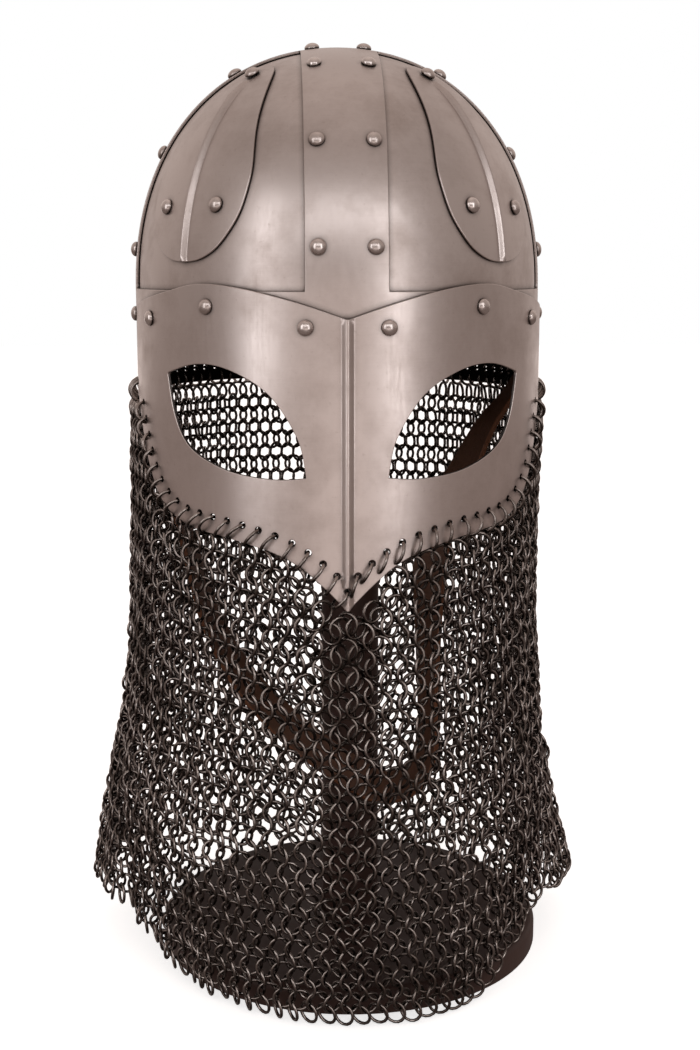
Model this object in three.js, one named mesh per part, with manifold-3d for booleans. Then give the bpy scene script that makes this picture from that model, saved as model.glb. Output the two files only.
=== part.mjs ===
// A steel helmet with an eye mask and a mail aventail, held up by its plain wooden stand.
// Millimetres, +Z up. The origin is the middle of the stand's foot on the floor; the face looks along -Y.
import * as THREE from 'three';
import { mergeVertices } from 'three/addons/utils/BufferGeometryUtils.js';
import Module from 'manifold-3d';

const wasm = await Module();
wasm.setup();

// Clearance between touching pieces
const GAP = 0.3;

// Helmet bowl, measured on the outside of the welded band frame
const HELMET_WIDTH = 203;
const HELMET_DEPTH = 232.4;
const RIM_HEIGHT = 293.5; // rim above the floor
const BROW_HEIGHT = 53.4; // upright brow band, rim to the foot of the dome
const CROWN_RISE = 116.6; // dome, brow band to crown
const CROWN_ROUNDNESS = 2.15; // exponent of the dome's outline, where 2 is an ellipse
const HELMET_SHIFT = 6.8; // the helmet sits this far left of the stand's axis

// Sheet thicknesses
const FRAME_THICKNESS = 1.5;
const PLATE_THICKNESS = 1.3;
const LEAF_THICKNESS = 1.2;
const MASK_THICKNESS = 1.6;

// Band frame and the four plates behind it
const CREST_WIDTH = 37;
const SIDE_BAND_WIDTH = 37;
const BROW_CUT_HEIGHT = 24; // the brow band is cut away behind the mask's eyes, up to here above the rim
const BROW_CUT_BACK = 58; // and back to this far in front of the side bands' middle line
const PLATE_PARTING = 8; // between neighbouring plates, behind the bands
const PLATE_LAP = 21; // the plates run down behind the brow band by this much

// Leaf plates on the four quarters
const LEAF_LENGTH = 114; // along the dome, foot to tip
const LEAF_WIDTH = 68.8;
const LEAF_FOOT = 66.2; // lowest point above the rim
const LEAF_ANGLE = 46.5; // degrees round from the crest
const LEAF_RIB_WIDTH = 5;
const LEAF_RIB_RISE = 1.8;

// Mask
const MASK_ANGLE = 72; // degrees from the nose to each upright side edge
const MASK_VALLEY = 41.3; // top edge over the nose, above the rim
const MASK_ARCH = 56.6; // highest point of the top edge, above the rim
const NOSE_DROP = 89; // nose tip below the rim
const NOSE_RIB_WIDTH = 5.6;
const NOSE_RIB_RISE = 1.9;
const EYE_INSET = 18.2; // along the plate, nose line to inner corner
const EYE_LENGTH = 77.7;
const EYE_HEIGHT = 50;
const EYE_DROP = 29.5; // lowest point of the eye hole below the rim

// Hanging holes along the mask's lower edge and the brow band's rim
const HOLE_DIAMETER = 3;
const HOLE_PITCH = 8.3;
const HOLE_INSET = 8; // hole centre from the edge
const NOSE_HOLE_INSET = 9.6; // lowest hole above the nose tip

// Rivets
const RIVET_DIAMETER = 7.2;
const RIVET_RISE = 2.8;
const RIVET_SPAN = 25.2; // between the two rows on a band
const BROW_RIVET_INSET = 12.4; // below the brow band's upper edge
const LEAF_RIVET_SPAN = 37;

// Mail aventail, one sheet as thick as the linked rings
const MAIL_THICKNESS = 5;
const MAIL_STANDOFF = 0.8; // middle of the sheet outside the brow band
const MAIL_BULGE = 4; // it fills out by this much half way down
const FLARE_WIDTH = 26; // the side flaps spread by this much at the hem
const FRONT_HEM = 0.6; // hem above the floor in front
const SIDE_HEM = 27;
const BACK_HEM = 9;
const HEM_WRAP = 8; // middle of the sheet outside the stand's foot, in front

// Chin strap
const STRAP_WIDTH = 18;
const STRAP_THICKNESS = 3;
const STRAP_HANG = 206; // rim to the strap's lowest point
const STRAP_FORWARD = 27; // it passes this far in front of the helmet's middle
const STRAP_STEPS = 40;

// Stand
const BASE_DIAMETER = 200;
const BASE_HEIGHT = 13;
const BASE_ROUND = 4; // rounded upper edge
const POST_DIAMETER = 30;
const POST_SOCKET = 8; // depth of the post's seat in the base
const CAP_DIAMETER = 66; // pad under the crown
const CAP_DEPTH = 32; // its upright side starts this far below the crown
const CAP_FLARE = 16; // the post widens to the pad over this height

// Facets
const COLUMNS = 36; // round the bowl
const DOME_ROWS = 7;
const MASK_COLUMNS = 16; // each side of the nose
const MAIL_ROWS = 7;
const BACK_COLUMNS = 19; // of the mail behind the mask
const HOLE_SIDES = 5;
const RIVET_SIDES = 6;
const BASE_SIDES = 36;
const POST_SIDES = 24;
const EYE_STEPS = 12; // along each arc of an eye hole
const SMALLEST_EDGE = 0.02; // slivers below this are merged away
const SAME_PLACE = 1e-4; // points closer than this are one point

const HALF_WIDTH = HELMET_WIDTH / 2;
const HALF_DEPTH = HELMET_DEPTH / 2;
const radians = THREE.MathUtils.degToRad;
const mix = THREE.MathUtils.lerp;

// Faces of each layer, as offsets from the outside of the band frame
const PLATE_OUT = -FRAME_THICKNESS - GAP;
const PLATE_IN = PLATE_OUT - PLATE_THICKNESS;
const LEAF_IN = PLATE_OUT + GAP;
const LEAF_OUT = LEAF_IN + LEAF_THICKNESS;
const LEAF_RIVET_SINK = LEAF_THICKNESS - GAP; // the leaf's heads grow out of the sheet, from this deep
const MASK_IN = GAP;
const MASK_OUT = MASK_IN + MASK_THICKNESS;
const CUT = 12; // cutters reach this far past both faces of a sheet
const BROW_RIVET_LEVEL = BROW_HEIGHT - BROW_RIVET_INSET;

// Closed solids from points and faces, and back to a geometry

function solidOf(geometry) {
  const bare = geometry.clone();
  Object.keys(bare.attributes).filter((name) => name !== 'position').forEach((name) => bare.deleteAttribute(name));
  const merged = mergeVertices(bare, SAME_PLACE);
  const { array } = merged.index;
  const triVerts = [];
  for (let i = 0; i < array.length; i += 3) {
    const [a, b, c] = [array[i], array[i + 1], array[i + 2]];
    if (a !== b && b !== c && c !== a) triVerts.push(a, b, c);
  }
  return new wasm.Manifold(new wasm.Mesh({
    numProp: 3,
    vertProperties: new Float32Array(merged.attributes.position.array),
    triVerts: new Uint32Array(triVerts),
  }));
}

function solidFrom(points, faces) {
  const geometry = new THREE.BufferGeometry().setFromPoints(points);
  geometry.setIndex(faces.flat());
  return solidOf(geometry);
}

function geometryOf(solid) {
  const { vertProperties, triVerts, numProp } = solid.simplify(SMALLEST_EDGE).getMesh();
  const points = [];
  for (let i = 0; i < vertProperties.length; i += numProp) {
    points.push(new THREE.Vector3(...vertProperties.slice(i, i + 3)));
  }
  const geometry = new THREE.BufferGeometry().setFromPoints(points);
  geometry.setIndex(Array.from(triVerts));
  geometry.computeVertexNormals();
  return geometry;
}

// A closed wall between two grids of points, [column][row]. A wrapped wall joins its last column to its first.
function wall(outer, inner, wrapped) {
  const columns = outer.length;
  const rows = outer[0].length;
  const out = (c, r) => (c % columns) * rows + r;
  const inn = (c, r) => columns * rows + out(c, r);
  const faces = [];
  const quad = (a, b, c, d) => faces.push([a, b, c], [a, c, d]);
  for (let c = 0; c < (wrapped ? columns : columns - 1); c += 1) {
    for (let r = 0; r < rows - 1; r += 1) {
      quad(out(c, r), out(c + 1, r), out(c + 1, r + 1), out(c, r + 1));
      quad(inn(c, r + 1), inn(c + 1, r + 1), inn(c + 1, r), inn(c, r));
    }
    quad(inn(c, 0), inn(c + 1, 0), out(c + 1, 0), out(c, 0));
    quad(out(c, rows - 1), out(c + 1, rows - 1), inn(c + 1, rows - 1), inn(c, rows - 1));
  }
  for (let r = 0; r < rows - 1 && !wrapped; r += 1) {
    quad(out(0, r + 1), inn(0, r + 1), inn(0, r), out(0, r));
    quad(out(columns - 1, r), inn(columns - 1, r), inn(columns - 1, r + 1), out(columns - 1, r + 1));
  }
  return solidFrom([...outer.flat(), ...inner.flat()], faces);
}

// A plug through a wall: one outline on the near side of it, the same outline on the far side
function plug(outline, near, far) {
  const count = outline.length;
  const caps = THREE.ShapeUtils.triangulateShape(outline, []);
  const faces = [];
  caps.forEach(([a, b, c]) => faces.push([c, b, a], [a + count, b + count, c + count]));
  for (let i = 0; i < count; i += 1) {
    const next = (i + 1) % count;
    faces.push([i, next, next + count], [i, next + count, i + count]);
  }
  return solidFrom([...near, ...far], faces);
}

function boxOf(...corners) {
  const box = new THREE.Box3().setFromPoints(corners);
  const size = box.getSize(new THREE.Vector3());
  const middle = box.getCenter(new THREE.Vector3());
  return solidOf(new THREE.BoxGeometry(size.x, size.y, size.z).translate(middle.x, middle.y, middle.z));
}

// One quarter of the space round the helmet, kept clear of its middle planes and above a level
const quarterBox = (rightward, backward, clearX, clearY, level) => boxOf(
  new THREE.Vector3(rightward * clearX, backward * clearY, level),
  new THREE.Vector3(rightward * HELMET_WIDTH, backward * HELMET_DEPTH, HELMET_DEPTH),
);

// The bowl's surface, in the helmet's own frame with the rim at zero. Angle 0 is the nose, 90 degrees is +X.
// A station holds the share of the bowl's plan, with a level above the rim or a share of the crown's rise.

const upright = (level) => ({ plan: 1, level });

function domeStation(lean) {
  const power = 2 / CROWN_ROUNDNESS;
  return { plan: Math.max(0, Math.cos(lean)) ** power, rise: Math.sin(lean) ** power };
}

function stationAt(level) {
  if (level <= BROW_HEIGHT) return upright(level);
  const rise = (level - BROW_HEIGHT) / CROWN_RISE;
  return { plan: (1 - rise ** CROWN_ROUNDNESS) ** (1 / CROWN_ROUNDNESS), rise };
}

function onBowl(angle, station, offset) {
  return new THREE.Vector3(
    (HALF_WIDTH + offset) * station.plan * Math.sin(angle),
    -(HALF_DEPTH + offset) * station.plan * Math.cos(angle),
    station.level ?? BROW_HEIGHT + (CROWN_RISE + offset) * station.rise,
  );
}

function bowlNormal(point) {
  const rise = Math.max(0, point.z - BROW_HEIGHT) / CROWN_RISE;
  const across = Math.hypot(point.x / HALF_WIDTH, point.y / HALF_DEPTH) ** (CROWN_ROUNDNESS - 2);
  return new THREE.Vector3(
    (across * point.x) / HALF_WIDTH ** 2,
    (across * point.y) / HALF_DEPTH ** 2,
    rise ** (CROWN_ROUNDNESS - 1) / CROWN_RISE,
  ).normalize();
}

const bowlAngles = Array.from({ length: COLUMNS }, (_, i) => (i / COLUMNS) * 2 * Math.PI);
const domeStations = Array.from({ length: DOME_ROWS + 1 }, (_, i) => domeStation((i / DOME_ROWS) * (Math.PI / 2)));

function bowlShell(low, outside, inside) {
  const stations = [upright(low), ...domeStations];
  const face = (offset) => bowlAngles.map((angle) => stations.map((station) => onBowl(angle, station, offset)));
  return wall(face(outside), face(inside), true);
}

// Distance round the upright wall from the nose line to an angle, and the angle at such a distance
const ARC_STEPS = 720;
const arcTable = [0];
for (let i = 0; i < ARC_STEPS; i += 1) {
  const angle = ((i + 0.5) / ARC_STEPS) * Math.PI;
  const step = Math.hypot(HALF_WIDTH * Math.cos(angle), HALF_DEPTH * Math.sin(angle)) * (Math.PI / ARC_STEPS);
  arcTable.push(arcTable[i] + step);
}
const HALF_ROUND = arcTable[ARC_STEPS];

function arcAt(angle) {
  const place = Math.min((angle / Math.PI) * ARC_STEPS, ARC_STEPS - 1e-6);
  return mix(arcTable[Math.floor(place)], arcTable[Math.floor(place) + 1], place % 1);
}

function angleAt(arc) {
  const step = Math.max(1, arcTable.findIndex((value) => value >= Math.min(arc, HALF_ROUND))) - 1;
  const share = (arc - arcTable[step]) / (arcTable[step + 1] - arcTable[step]);
  return ((step + share) * Math.PI) / ARC_STEPS;
}

// A smooth line through a few hand-set points, and its height at a place along it
function lineThrough(rows, segments) {
  return new THREE.SplineCurve(rows.map(([a, b]) => new THREE.Vector2(a, b))).getPoints(segments);
}

function heightAt(line, place) {
  const next = Math.max(1, line.findIndex((p) => p.x >= place - 1e-6));
  const [a, b] = [line[next - 1], line[next]];
  return mix(a.y, b.y, (place - a.x) / (b.x - a.x));
}

// Mask outline: [share of the side angle, share of the nose drop] and [.., share of the top edge's arch]
const LOWER_EDGE = [[0, -1], [0.08, -0.88], [0.17, -0.772], [0.27, -0.704], [0.43, -0.652],
  [0.64, -0.607], [0.79, -0.5], [0.9, -0.3], [1, 0]];
const UPPER_EDGE = [[0, 0], [0.18, 0.5], [0.37, 0.87], [0.55, 1], [0.72, 0.77], [0.9, 0.5], [1, 0.3]];
const SIDE_ANGLE = radians(MASK_ANGLE);

const maskLower = lineThrough(LOWER_EDGE.map(([a, b]) => [a * SIDE_ANGLE, b * NOSE_DROP]), MASK_COLUMNS);
const maskUpper = lineThrough(
  UPPER_EDGE.map(([a, b]) => [a * SIDE_ANGLE, mix(MASK_VALLEY, MASK_ARCH, b)]),
  MASK_COLUMNS,
);

// Columns of the mask and of the mail below it, from the nose rib's edge to the side edge
const RIB_ANGLE = angleAt(NOSE_RIB_WIDTH / 2);
const maskAngles = [RIB_ANGLE, ...maskLower.map((p) => p.x).filter((angle) => angle > RIB_ANGLE * 1.2)];

// Hanging holes as an angle and a level: beside the mask's lower edge, then round the rim behind it
function maskHoles() {
  const edge = maskLower.map((p) => new THREE.Vector2(arcAt(p.x), p.y));
  const inset = edge.slice(1).map((p, i) => {
    const along = p.clone().sub(edge[i]).normalize();
    return new THREE.Vector2(p.x - along.y * HOLE_INSET, p.y + along.x * HOLE_INSET);
  });
  const nose = new THREE.Vector2(0, NOSE_HOLE_INSET - NOSE_DROP);
  const path = new THREE.SplineCurve([nose, ...inset.filter((p) => p.x > HOLE_PITCH / 2)]);
  const count = Math.floor(path.getLength() / HOLE_PITCH);
  const holes = [{ angle: 0, level: nose.y }];
  for (let i = 1; i <= count; i += 1) {
    const { x, y } = path.getPointAt((i * HOLE_PITCH) / path.getLength());
    holes.push({ angle: angleAt(x), level: y }, { angle: -angleAt(x), level: y });
  }
  return holes;
}

function rimHoles() {
  const start = arcAt(SIDE_ANGLE) + HOLE_PITCH;
  const count = Math.round((2 * (HALF_ROUND - start)) / HOLE_PITCH);
  return Array.from({ length: count + 1 }, (_, i) => {
    const arc = mix(start, 2 * HALF_ROUND - start, i / count);
    const angle = arc <= HALF_ROUND ? angleAt(arc) : 2 * Math.PI - angleAt(2 * HALF_ROUND - arc);
    return { angle, level: HOLE_INSET };
  });
}

const Z_AXIS = new THREE.Vector3(0, 0, 1);

function holeCutter({ angle, level }) {
  const pin = new THREE.CylinderGeometry(HOLE_DIAMETER / 2, HOLE_DIAMETER / 2, CUT, HOLE_SIDES).rotateX(Math.PI / 2);
  const place = onBowl(angle, upright(level), 0);
  pin.applyQuaternion(new THREE.Quaternion().setFromUnitVectors(Z_AXIS, bowlNormal(place)));
  return solidOf(pin.translate(place.x, place.y, place.z));
}

const drill = (solid, holes) => holes.reduce((left, hole) => left.subtract(holeCutter(hole)), solid);

// Rivet heads: low domes that stand on a facet of the sheet below them

// Finds the facet of a solid under a place on the bowl
function facetsOf(solid) {
  const facets = new THREE.Mesh(geometryOf(solid), new THREE.MeshBasicMaterial());
  return (place) => {
    const normal = bowlNormal(place);
    const start = place.clone().addScaledVector(normal, CUT);
    const [hit] = new THREE.Raycaster(start, normal.negate()).intersectObject(facets);
    return { point: hit.point, normal: hit.face.normal };
  };
}

const RIVET_SHOULDER = { width: 0.78, height: 0.65 }; // where the dome bends, as shares of the head

function rivetHead({ point, normal }, lift) {
  const radius = RIVET_DIAMETER / 2;
  const shoulder = [radius * RIVET_SHOULDER.width, RIVET_RISE * RIVET_SHOULDER.height];
  const profile = [[0, 0], [radius, 0], shoulder, [0, RIVET_RISE]];
  const head = new THREE.LatheGeometry(profile.map(([r, z]) => new THREE.Vector2(r, z)), RIVET_SIDES);
  head.rotateX(Math.PI / 2).translate(0, 0, lift);
  head.applyQuaternion(new THREE.Quaternion().setFromUnitVectors(Z_AXIS, normal));
  return solidOf(head.translate(point.x, point.y, point.z));
}

// A place on the dome at a share of the crown's rise and a distance from the helmet's middle plane
function besideMiddle(share, sideways, across) {
  const { plan } = stationAt(BROW_HEIGHT + share * CROWN_RISE);
  const [halfAcross, halfAlong] = across === 'x' ? [HALF_WIDTH, HALF_DEPTH] : [HALF_DEPTH, HALF_WIDTH];
  const along = halfAlong * Math.sqrt(plan ** 2 - (sideways / halfAcross) ** 2);
  const [x, y] = across === 'x' ? [sideways, along] : [along, sideways];
  return new THREE.Vector3(x, y, BROW_HEIGHT + share * CROWN_RISE);
}

// Pieces

const QUARTERS = [[-1, -1], [1, -1], [-1, 1], [1, 1]]; // [rightward, backward]

function bandFrame() {
  const windows = QUARTERS.map(([rightward, backward]) => (
    quarterBox(rightward, backward, CREST_WIDTH / 2, SIDE_BAND_WIDTH / 2, BROW_HEIGHT)));
  const behindEyes = boxOf(
    new THREE.Vector3(-HELMET_WIDTH, -HELMET_DEPTH, -BROW_HEIGHT),
    new THREE.Vector3(HELMET_WIDTH, -BROW_CUT_BACK, BROW_CUT_HEIGHT),
  );
  const shell = bowlShell(0, 0, -FRAME_THICKNESS).subtract(behindEyes);
  return drill(windows.reduce((left, window) => left.subtract(window), shell), rimHoles());
}

function skullPlate(rightward, backward) {
  const quarter = quarterBox(rightward, backward, PLATE_PARTING / 2, PLATE_PARTING / 2, 0);
  return bowlShell(BROW_HEIGHT - PLATE_LAP, PLATE_OUT, PLATE_IN).intersect(quarter);
}

// Leaf outline up one side: [share of the length, share of the half width]
const LEAF_OUTLINE = [[0, 0], [0.01, 0.3], [0.05, 0.59], [0.12, 0.81], [0.2, 0.95], [0.3, 1], [0.4, 0.97],
  [0.57, 0.79], [0.78, 0.56], [0.92, 0.35], [0.98, 0.17], [1, 0]];
const LEAF_RIB_STATIONS = [0.005, 0.28, 0.56, 0.84]; // shares of the length
const LEAF_RIVETS = [[0.225, 0.5], [0.225, -0.5], [0.9, 0]]; // [share of the length, share of the rivet span]

const SMALL_TURN = 0.01; // radians, for measuring along the dome

// Stations up the dome at equal shares of the leaf's length
const leafStations = (() => {
  const foot = Math.asin(((LEAF_FOOT - BROW_HEIGHT) / CROWN_RISE) ** (CROWN_ROUNDNESS / 2));
  const middle = onBowl(radians(LEAF_ANGLE), upright(0), PLATE_OUT);
  const reach = Math.hypot(middle.x, middle.y);
  const steps = [{ length: 0, lean: foot }];
  const flat = (lean) => {
    const { plan, rise } = domeStation(lean);
    return new THREE.Vector2(plan * reach, rise * CROWN_RISE);
  };
  for (let lean = foot; lean < Math.PI / 2; lean += SMALL_TURN) {
    const last = steps[steps.length - 1];
    steps.push({ length: last.length + flat(lean + SMALL_TURN).distanceTo(flat(lean)), lean: lean + SMALL_TURN });
  }
  return (share) => {
    const next = Math.max(1, steps.findIndex((step) => step.length >= share * LEAF_LENGTH));
    const [a, b] = [steps[next - 1], steps[next]];
    return domeStation(mix(a.lean, b.lean, (share * LEAF_LENGTH - a.length) / (b.length - a.length)));
  };
})();

function onLeaf(middleAngle, share, sideways, offset) {
  const station = leafStations(share);
  const ahead = onBowl(middleAngle + SMALL_TURN, station, 0).distanceTo(onBowl(middleAngle, station, 0));
  return onBowl(middleAngle + (sideways * SMALL_TURN) / ahead, station, offset);
}

function leafPatch(middleAngle, outline, outside) {
  const flat = outline.map((p) => new THREE.Vector2(p.x, p.y * LEAF_LENGTH));
  const ring = (offset) => outline.map((p) => onLeaf(middleAngle, p.y, p.x, offset));
  const reach = LEAF_LENGTH / 4; // so that the plug's flat ends clear the curve of the dome
  return bowlShell(BROW_HEIGHT, outside, LEAF_IN).intersect(plug(flat, ring(-reach), ring(reach)));
}

function leaf(middleAngle) {
  const side = LEAF_OUTLINE.map(([share, half]) => new THREE.Vector2((half * LEAF_WIDTH) / 2, share));
  const outline = [...side, ...side.slice(1, -1).reverse().map((p) => new THREE.Vector2(-p.x, p.y))];
  const rib = [...LEAF_RIB_STATIONS.map((share) => new THREE.Vector2(LEAF_RIB_WIDTH / 2, share)),
    ...LEAF_RIB_STATIONS.map((share) => new THREE.Vector2(-LEAF_RIB_WIDTH / 2, share)).reverse()];
  const facetAt = facetsOf(bowlShell(BROW_HEIGHT, LEAF_OUT, LEAF_IN));
  const heads = LEAF_RIVETS.map(([share, place]) => (
    rivetHead(facetAt(onLeaf(middleAngle, share, place * LEAF_RIVET_SPAN, 0)), -LEAF_RIVET_SINK)));
  return [leafPatch(middleAngle, rib, LEAF_OUT + LEAF_RIB_RISE), ...heads]
    .reduce((left, piece) => left.add(piece), leafPatch(middleAngle, outline, LEAF_OUT));
}

// Eye hole, as shares of its length and height: the upper and lower arcs between its two corners
const EYE_UPPER = [[0, 0.02], [0.05, 0.37], [0.22, 0.756], [0.47, 0.96], [0.72, 1], [1, 0.902]];
const EYE_LOWER = [[1, 0.902], [0.93, 0.524], [0.79, 0.242], [0.5, 0.06], [0.2, 0], [0, 0.02]];

function eyeCutter(side) {
  const arcs = [...lineThrough(EYE_UPPER, EYE_STEPS).slice(0, -1), ...lineThrough(EYE_LOWER, EYE_STEPS).slice(0, -1)];
  const flat = arcs.map((p) => new THREE.Vector2(
    side * (EYE_INSET + p.x * EYE_LENGTH),
    p.y * EYE_HEIGHT - EYE_DROP,
  ));
  const outline = THREE.ShapeUtils.isClockWise(flat) ? flat.reverse() : flat;
  const ring = (offset) => outline.map((p) => onBowl(side * angleAt(Math.abs(p.x)), upright(p.y), offset));
  return plug(outline, ring(MASK_IN - CUT), ring(MASK_OUT + CUT));
}

function maskWall() {
  const angles = [...maskAngles.map((angle) => -angle).reverse(), 0, ...maskAngles];
  const column = (angle, offset) => {
    const levels = [heightAt(maskLower, Math.abs(angle)), heightAt(maskUpper, Math.abs(angle))];
    return levels.map((level) => onBowl(angle, upright(level), offset));
  };
  const outer = angles.map((angle) => column(angle, MASK_OUT + (angle ? 0 : NOSE_RIB_RISE)));
  return wall(outer, angles.map((angle) => column(angle, MASK_IN)), false);
}

const maskPlate = () => drill(maskWall().subtract(eyeCutter(1)).subtract(eyeCutter(-1)), maskHoles());

// Hem of the mail: [share of the half turn from the nose, level, radius, flare] as shares of
// the steps between the front, side and back hem, of the wrap round the foot and of the flare
const HEM = [
  { turn: 0, level: 0, wrap: 1, flare: 0 },
  { turn: 0.15, level: 0, wrap: 1, flare: 0 },
  { turn: 0.28, level: 0.1, wrap: 0.5, flare: 0 },
  { turn: 0.36, level: 0.45, wrap: 0.45, flare: 0 },
  { turn: 0.43, level: 0.9, wrap: 0.5, flare: 0.2 },
  { turn: 0.5, level: 1, wrap: 0.6, flare: 0.75 },
  { turn: 0.57, level: 1, wrap: 0.9, flare: 1 },
  { turn: 0.7, level: 0.9, wrap: 1.2, flare: 0.7 },
  { turn: 0.85, level: 0.55, wrap: 1.2, flare: 0.2 },
  { turn: 1, level: 0, wrap: 1, flare: 0 },
];
const FLARE_START = 0.68; // share of the drop where the sheet leaves its upright line
const FLARE_POWER = 0.8;

function hemAt(angle) {
  const turn = Math.abs(Math.atan2(Math.sin(angle), Math.cos(angle))) / Math.PI;
  const next = Math.max(1, HEM.findIndex((row) => row.turn >= turn - 1e-9));
  const [a, b] = [HEM[next - 1], HEM[next]];
  const share = (turn - a.turn) / (b.turn - a.turn);
  const [level, wrap, flare] = ['level', 'wrap', 'flare'].map((key) => mix(a[key], b[key], share));
  const end = turn < 0.5 ? FRONT_HEM : BACK_HEM;
  const radius = BASE_DIAMETER / 2 + wrap * HEM_WRAP + flare * FLARE_WIDTH;
  return { height: mix(end, SIDE_HEM, level), radius };
}

// Middle of the mail sheet under an angle, at a share of the way from its upper edge to its hem
function onMail(angle, share, offset) {
  const turn = Math.abs(Math.atan2(Math.sin(angle), Math.cos(angle)));
  const top = (turn < SIDE_ANGLE ? heightAt(maskLower, turn) : 0) - GAP;
  const hem = hemAt(angle);
  const bulge = MAIL_STANDOFF + MAIL_BULGE * Math.min(1, share / FLARE_START) + offset;
  const hung = onBowl(angle, upright(mix(top, hem.height - RIM_HEIGHT, share)), bulge);
  const away = new THREE.Vector3(Math.sin(angle), -Math.cos(angle), 0).multiplyScalar(hem.radius + offset);
  away.set(away.x + HELMET_SHIFT, away.y, hung.z);
  const drift = Math.max(0, (share - FLARE_START) / (1 - FLARE_START)) ** FLARE_POWER;
  return hung.lerp(away, drift);
}

function aventail() {
  const behind = Array.from({ length: BACK_COLUMNS }, (_, i) => (
    mix(SIDE_ANGLE, 2 * Math.PI - SIDE_ANGLE, (i + 1) / (BACK_COLUMNS + 1))));
  const angles = [0, ...maskAngles, ...behind, ...maskAngles.map((angle) => 2 * Math.PI - angle).reverse()];
  const shares = Array.from({ length: MAIL_ROWS + 1 }, (_, i) => 1 - i / MAIL_ROWS);
  const face = (offset) => angles.map((angle) => shares.map((share) => onMail(angle, share, offset)));
  return wall(face(MAIL_THICKNESS / 2), face(-MAIL_THICKNESS / 2), true);
}

// Chin strap route in the helmet's frame: [share of the half width, share of the forward reach,
// share of the hang, degrees that its face turns towards the front]
const STRAP_ROUTE = [
  [-0.955, 0.2, 0.14, 0],
  [-0.952, 0.2, 0.04, 0],
  [-0.935, 0.2, -0.06, 0],
  [-0.87, 0.2, -0.2, 8],
  [-0.77, 0.2, -0.36, 15],
  [-0.71, 0.3, -0.47, 22],
  [-0.64, 0.4, -0.58, 28],
  [-0.5, 0.6, -0.705, 38],
  [-0.34, 0.78, -0.795, 48],
  [-0.15, 0.95, -0.875, 55],
  [0.03, 1, -0.94, 55],
  [0.21, 1, -0.99, 45],
  [0.37, 1, -0.97, 35],
  [0.45, 0.96, -0.88, 28],
  [0.455, 0.9, -0.76, 25],
  [0.455, 0.8, -0.56, 40],
  [0.47, 0.68, -0.41, 62],
  [0.54, 0.56, -0.28, 68],
  [0.635, 0.45, -0.19, 55],
  [0.75, 0.35, -0.08, 35],
  [0.86, 0.25, -0.01, 15],
  [0.94, 0.2, 0.06, 3],
  [0.955, 0.2, 0.14, 0],
];

function chinStrap() {
  const places = STRAP_ROUTE.map(([x, y, z]) => (
    new THREE.Vector3(x * HALF_WIDTH, -y * STRAP_FORWARD, z * STRAP_HANG)));
  const route = new THREE.CatmullRomCurve3(places, false, 'centripetal');
  const turns = new THREE.CatmullRomCurve3(STRAP_ROUTE.map(([, , , turn]) => new THREE.Vector3(turn, 0, 0)));
  const sections = Array.from({ length: STRAP_STEPS + 1 }, (_, i) => {
    const share = i / STRAP_STEPS;
    const along = route.getTangent(share);
    const back = new THREE.Vector3(0, 1, 0).addScaledVector(along, -along.y).normalize();
    const turn = radians(turns.getPoint(share).x);
    const broad = back.applyAxisAngle(along, turn);
    const thick = new THREE.Vector3().crossVectors(broad, along);
    const middle = route.getPoint(share);
    const corner = (b, t) => middle.clone().addScaledVector(broad, b * STRAP_WIDTH).addScaledVector(thick, t);
    return { under: [corner(-0.5, -STRAP_THICKNESS / 2), corner(0.5, -STRAP_THICKNESS / 2)],
      over: [corner(-0.5, STRAP_THICKNESS / 2), corner(0.5, STRAP_THICKNESS / 2)] };
  });
  return wall(sections.map((s) => s.under), sections.map((s) => s.over), false);
}

function standBase() {
  const [radius, socket] = [BASE_DIAMETER / 2, POST_DIAMETER / 2 + GAP];
  const round = [0, 45, 90].map((turn) => new THREE.Vector2(
    radius - BASE_ROUND + BASE_ROUND * Math.cos(radians(turn)),
    BASE_HEIGHT - BASE_ROUND + BASE_ROUND * Math.sin(radians(turn)),
  ));
  const seat = BASE_HEIGHT - POST_SOCKET;
  const profile = [[0, 0], [radius, 0]].map(([r, z]) => new THREE.Vector2(r, z));
  const hole = [[socket, BASE_HEIGHT], [socket, seat], [0, seat]].map(([r, z]) => new THREE.Vector2(r, z));
  return solidOf(new THREE.LatheGeometry([...profile, ...round, ...hole], BASE_SIDES).rotateX(Math.PI / 2));
}

// The post ends in a flared pad that follows the inside of the crown
function standPost() {
  const [radius, pad] = [POST_DIAMETER / 2, CAP_DIAMETER / 2];
  const foot = BASE_HEIGHT - POST_SOCKET + GAP;
  const crown = RIM_HEIGHT + BROW_HEIGHT + CROWN_RISE;
  const profile = [[0, foot], [radius, foot], [radius, crown - CAP_DEPTH - CAP_FLARE], [pad, crown - CAP_DEPTH],
    [pad, crown], [0, crown]].map(([r, z]) => new THREE.Vector2(r, z));
  const turned = solidOf(new THREE.LatheGeometry(profile, POST_SIDES).rotateX(Math.PI / 2));
  const hollow = bowlAngles.flatMap((angle) => (
    [upright(-RIM_HEIGHT), ...domeStations].map((station) => onBowl(angle, station, PLATE_IN - GAP))));
  const inside = wasm.Manifold.hull(hollow.map((p) => p.toArray()));
  return turned.intersect(inside.translate([-HELMET_SHIFT, 0, RIM_HEIGHT]));
}

// Materials

const STEEL = { color: 0xa89c96, metalness: 1, roughness: 0.34 };
const DARK_STEEL = { color: 0x8d817c, metalness: 1, roughness: 0.42 };
const MAIL_STEEL = { color: 0x4a4340, metalness: 0.9, roughness: 0.5 };
const LEATHER = { color: 0x402a20, metalness: 0, roughness: 0.7 };
const STAINED_WOOD = { color: 0x35302e, metalness: 0, roughness: 0.5 };

const helmet = new THREE.Group();
helmet.position.set(-HELMET_SHIFT, 0, RIM_HEIGHT);
const stand = new THREE.Group();

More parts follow.
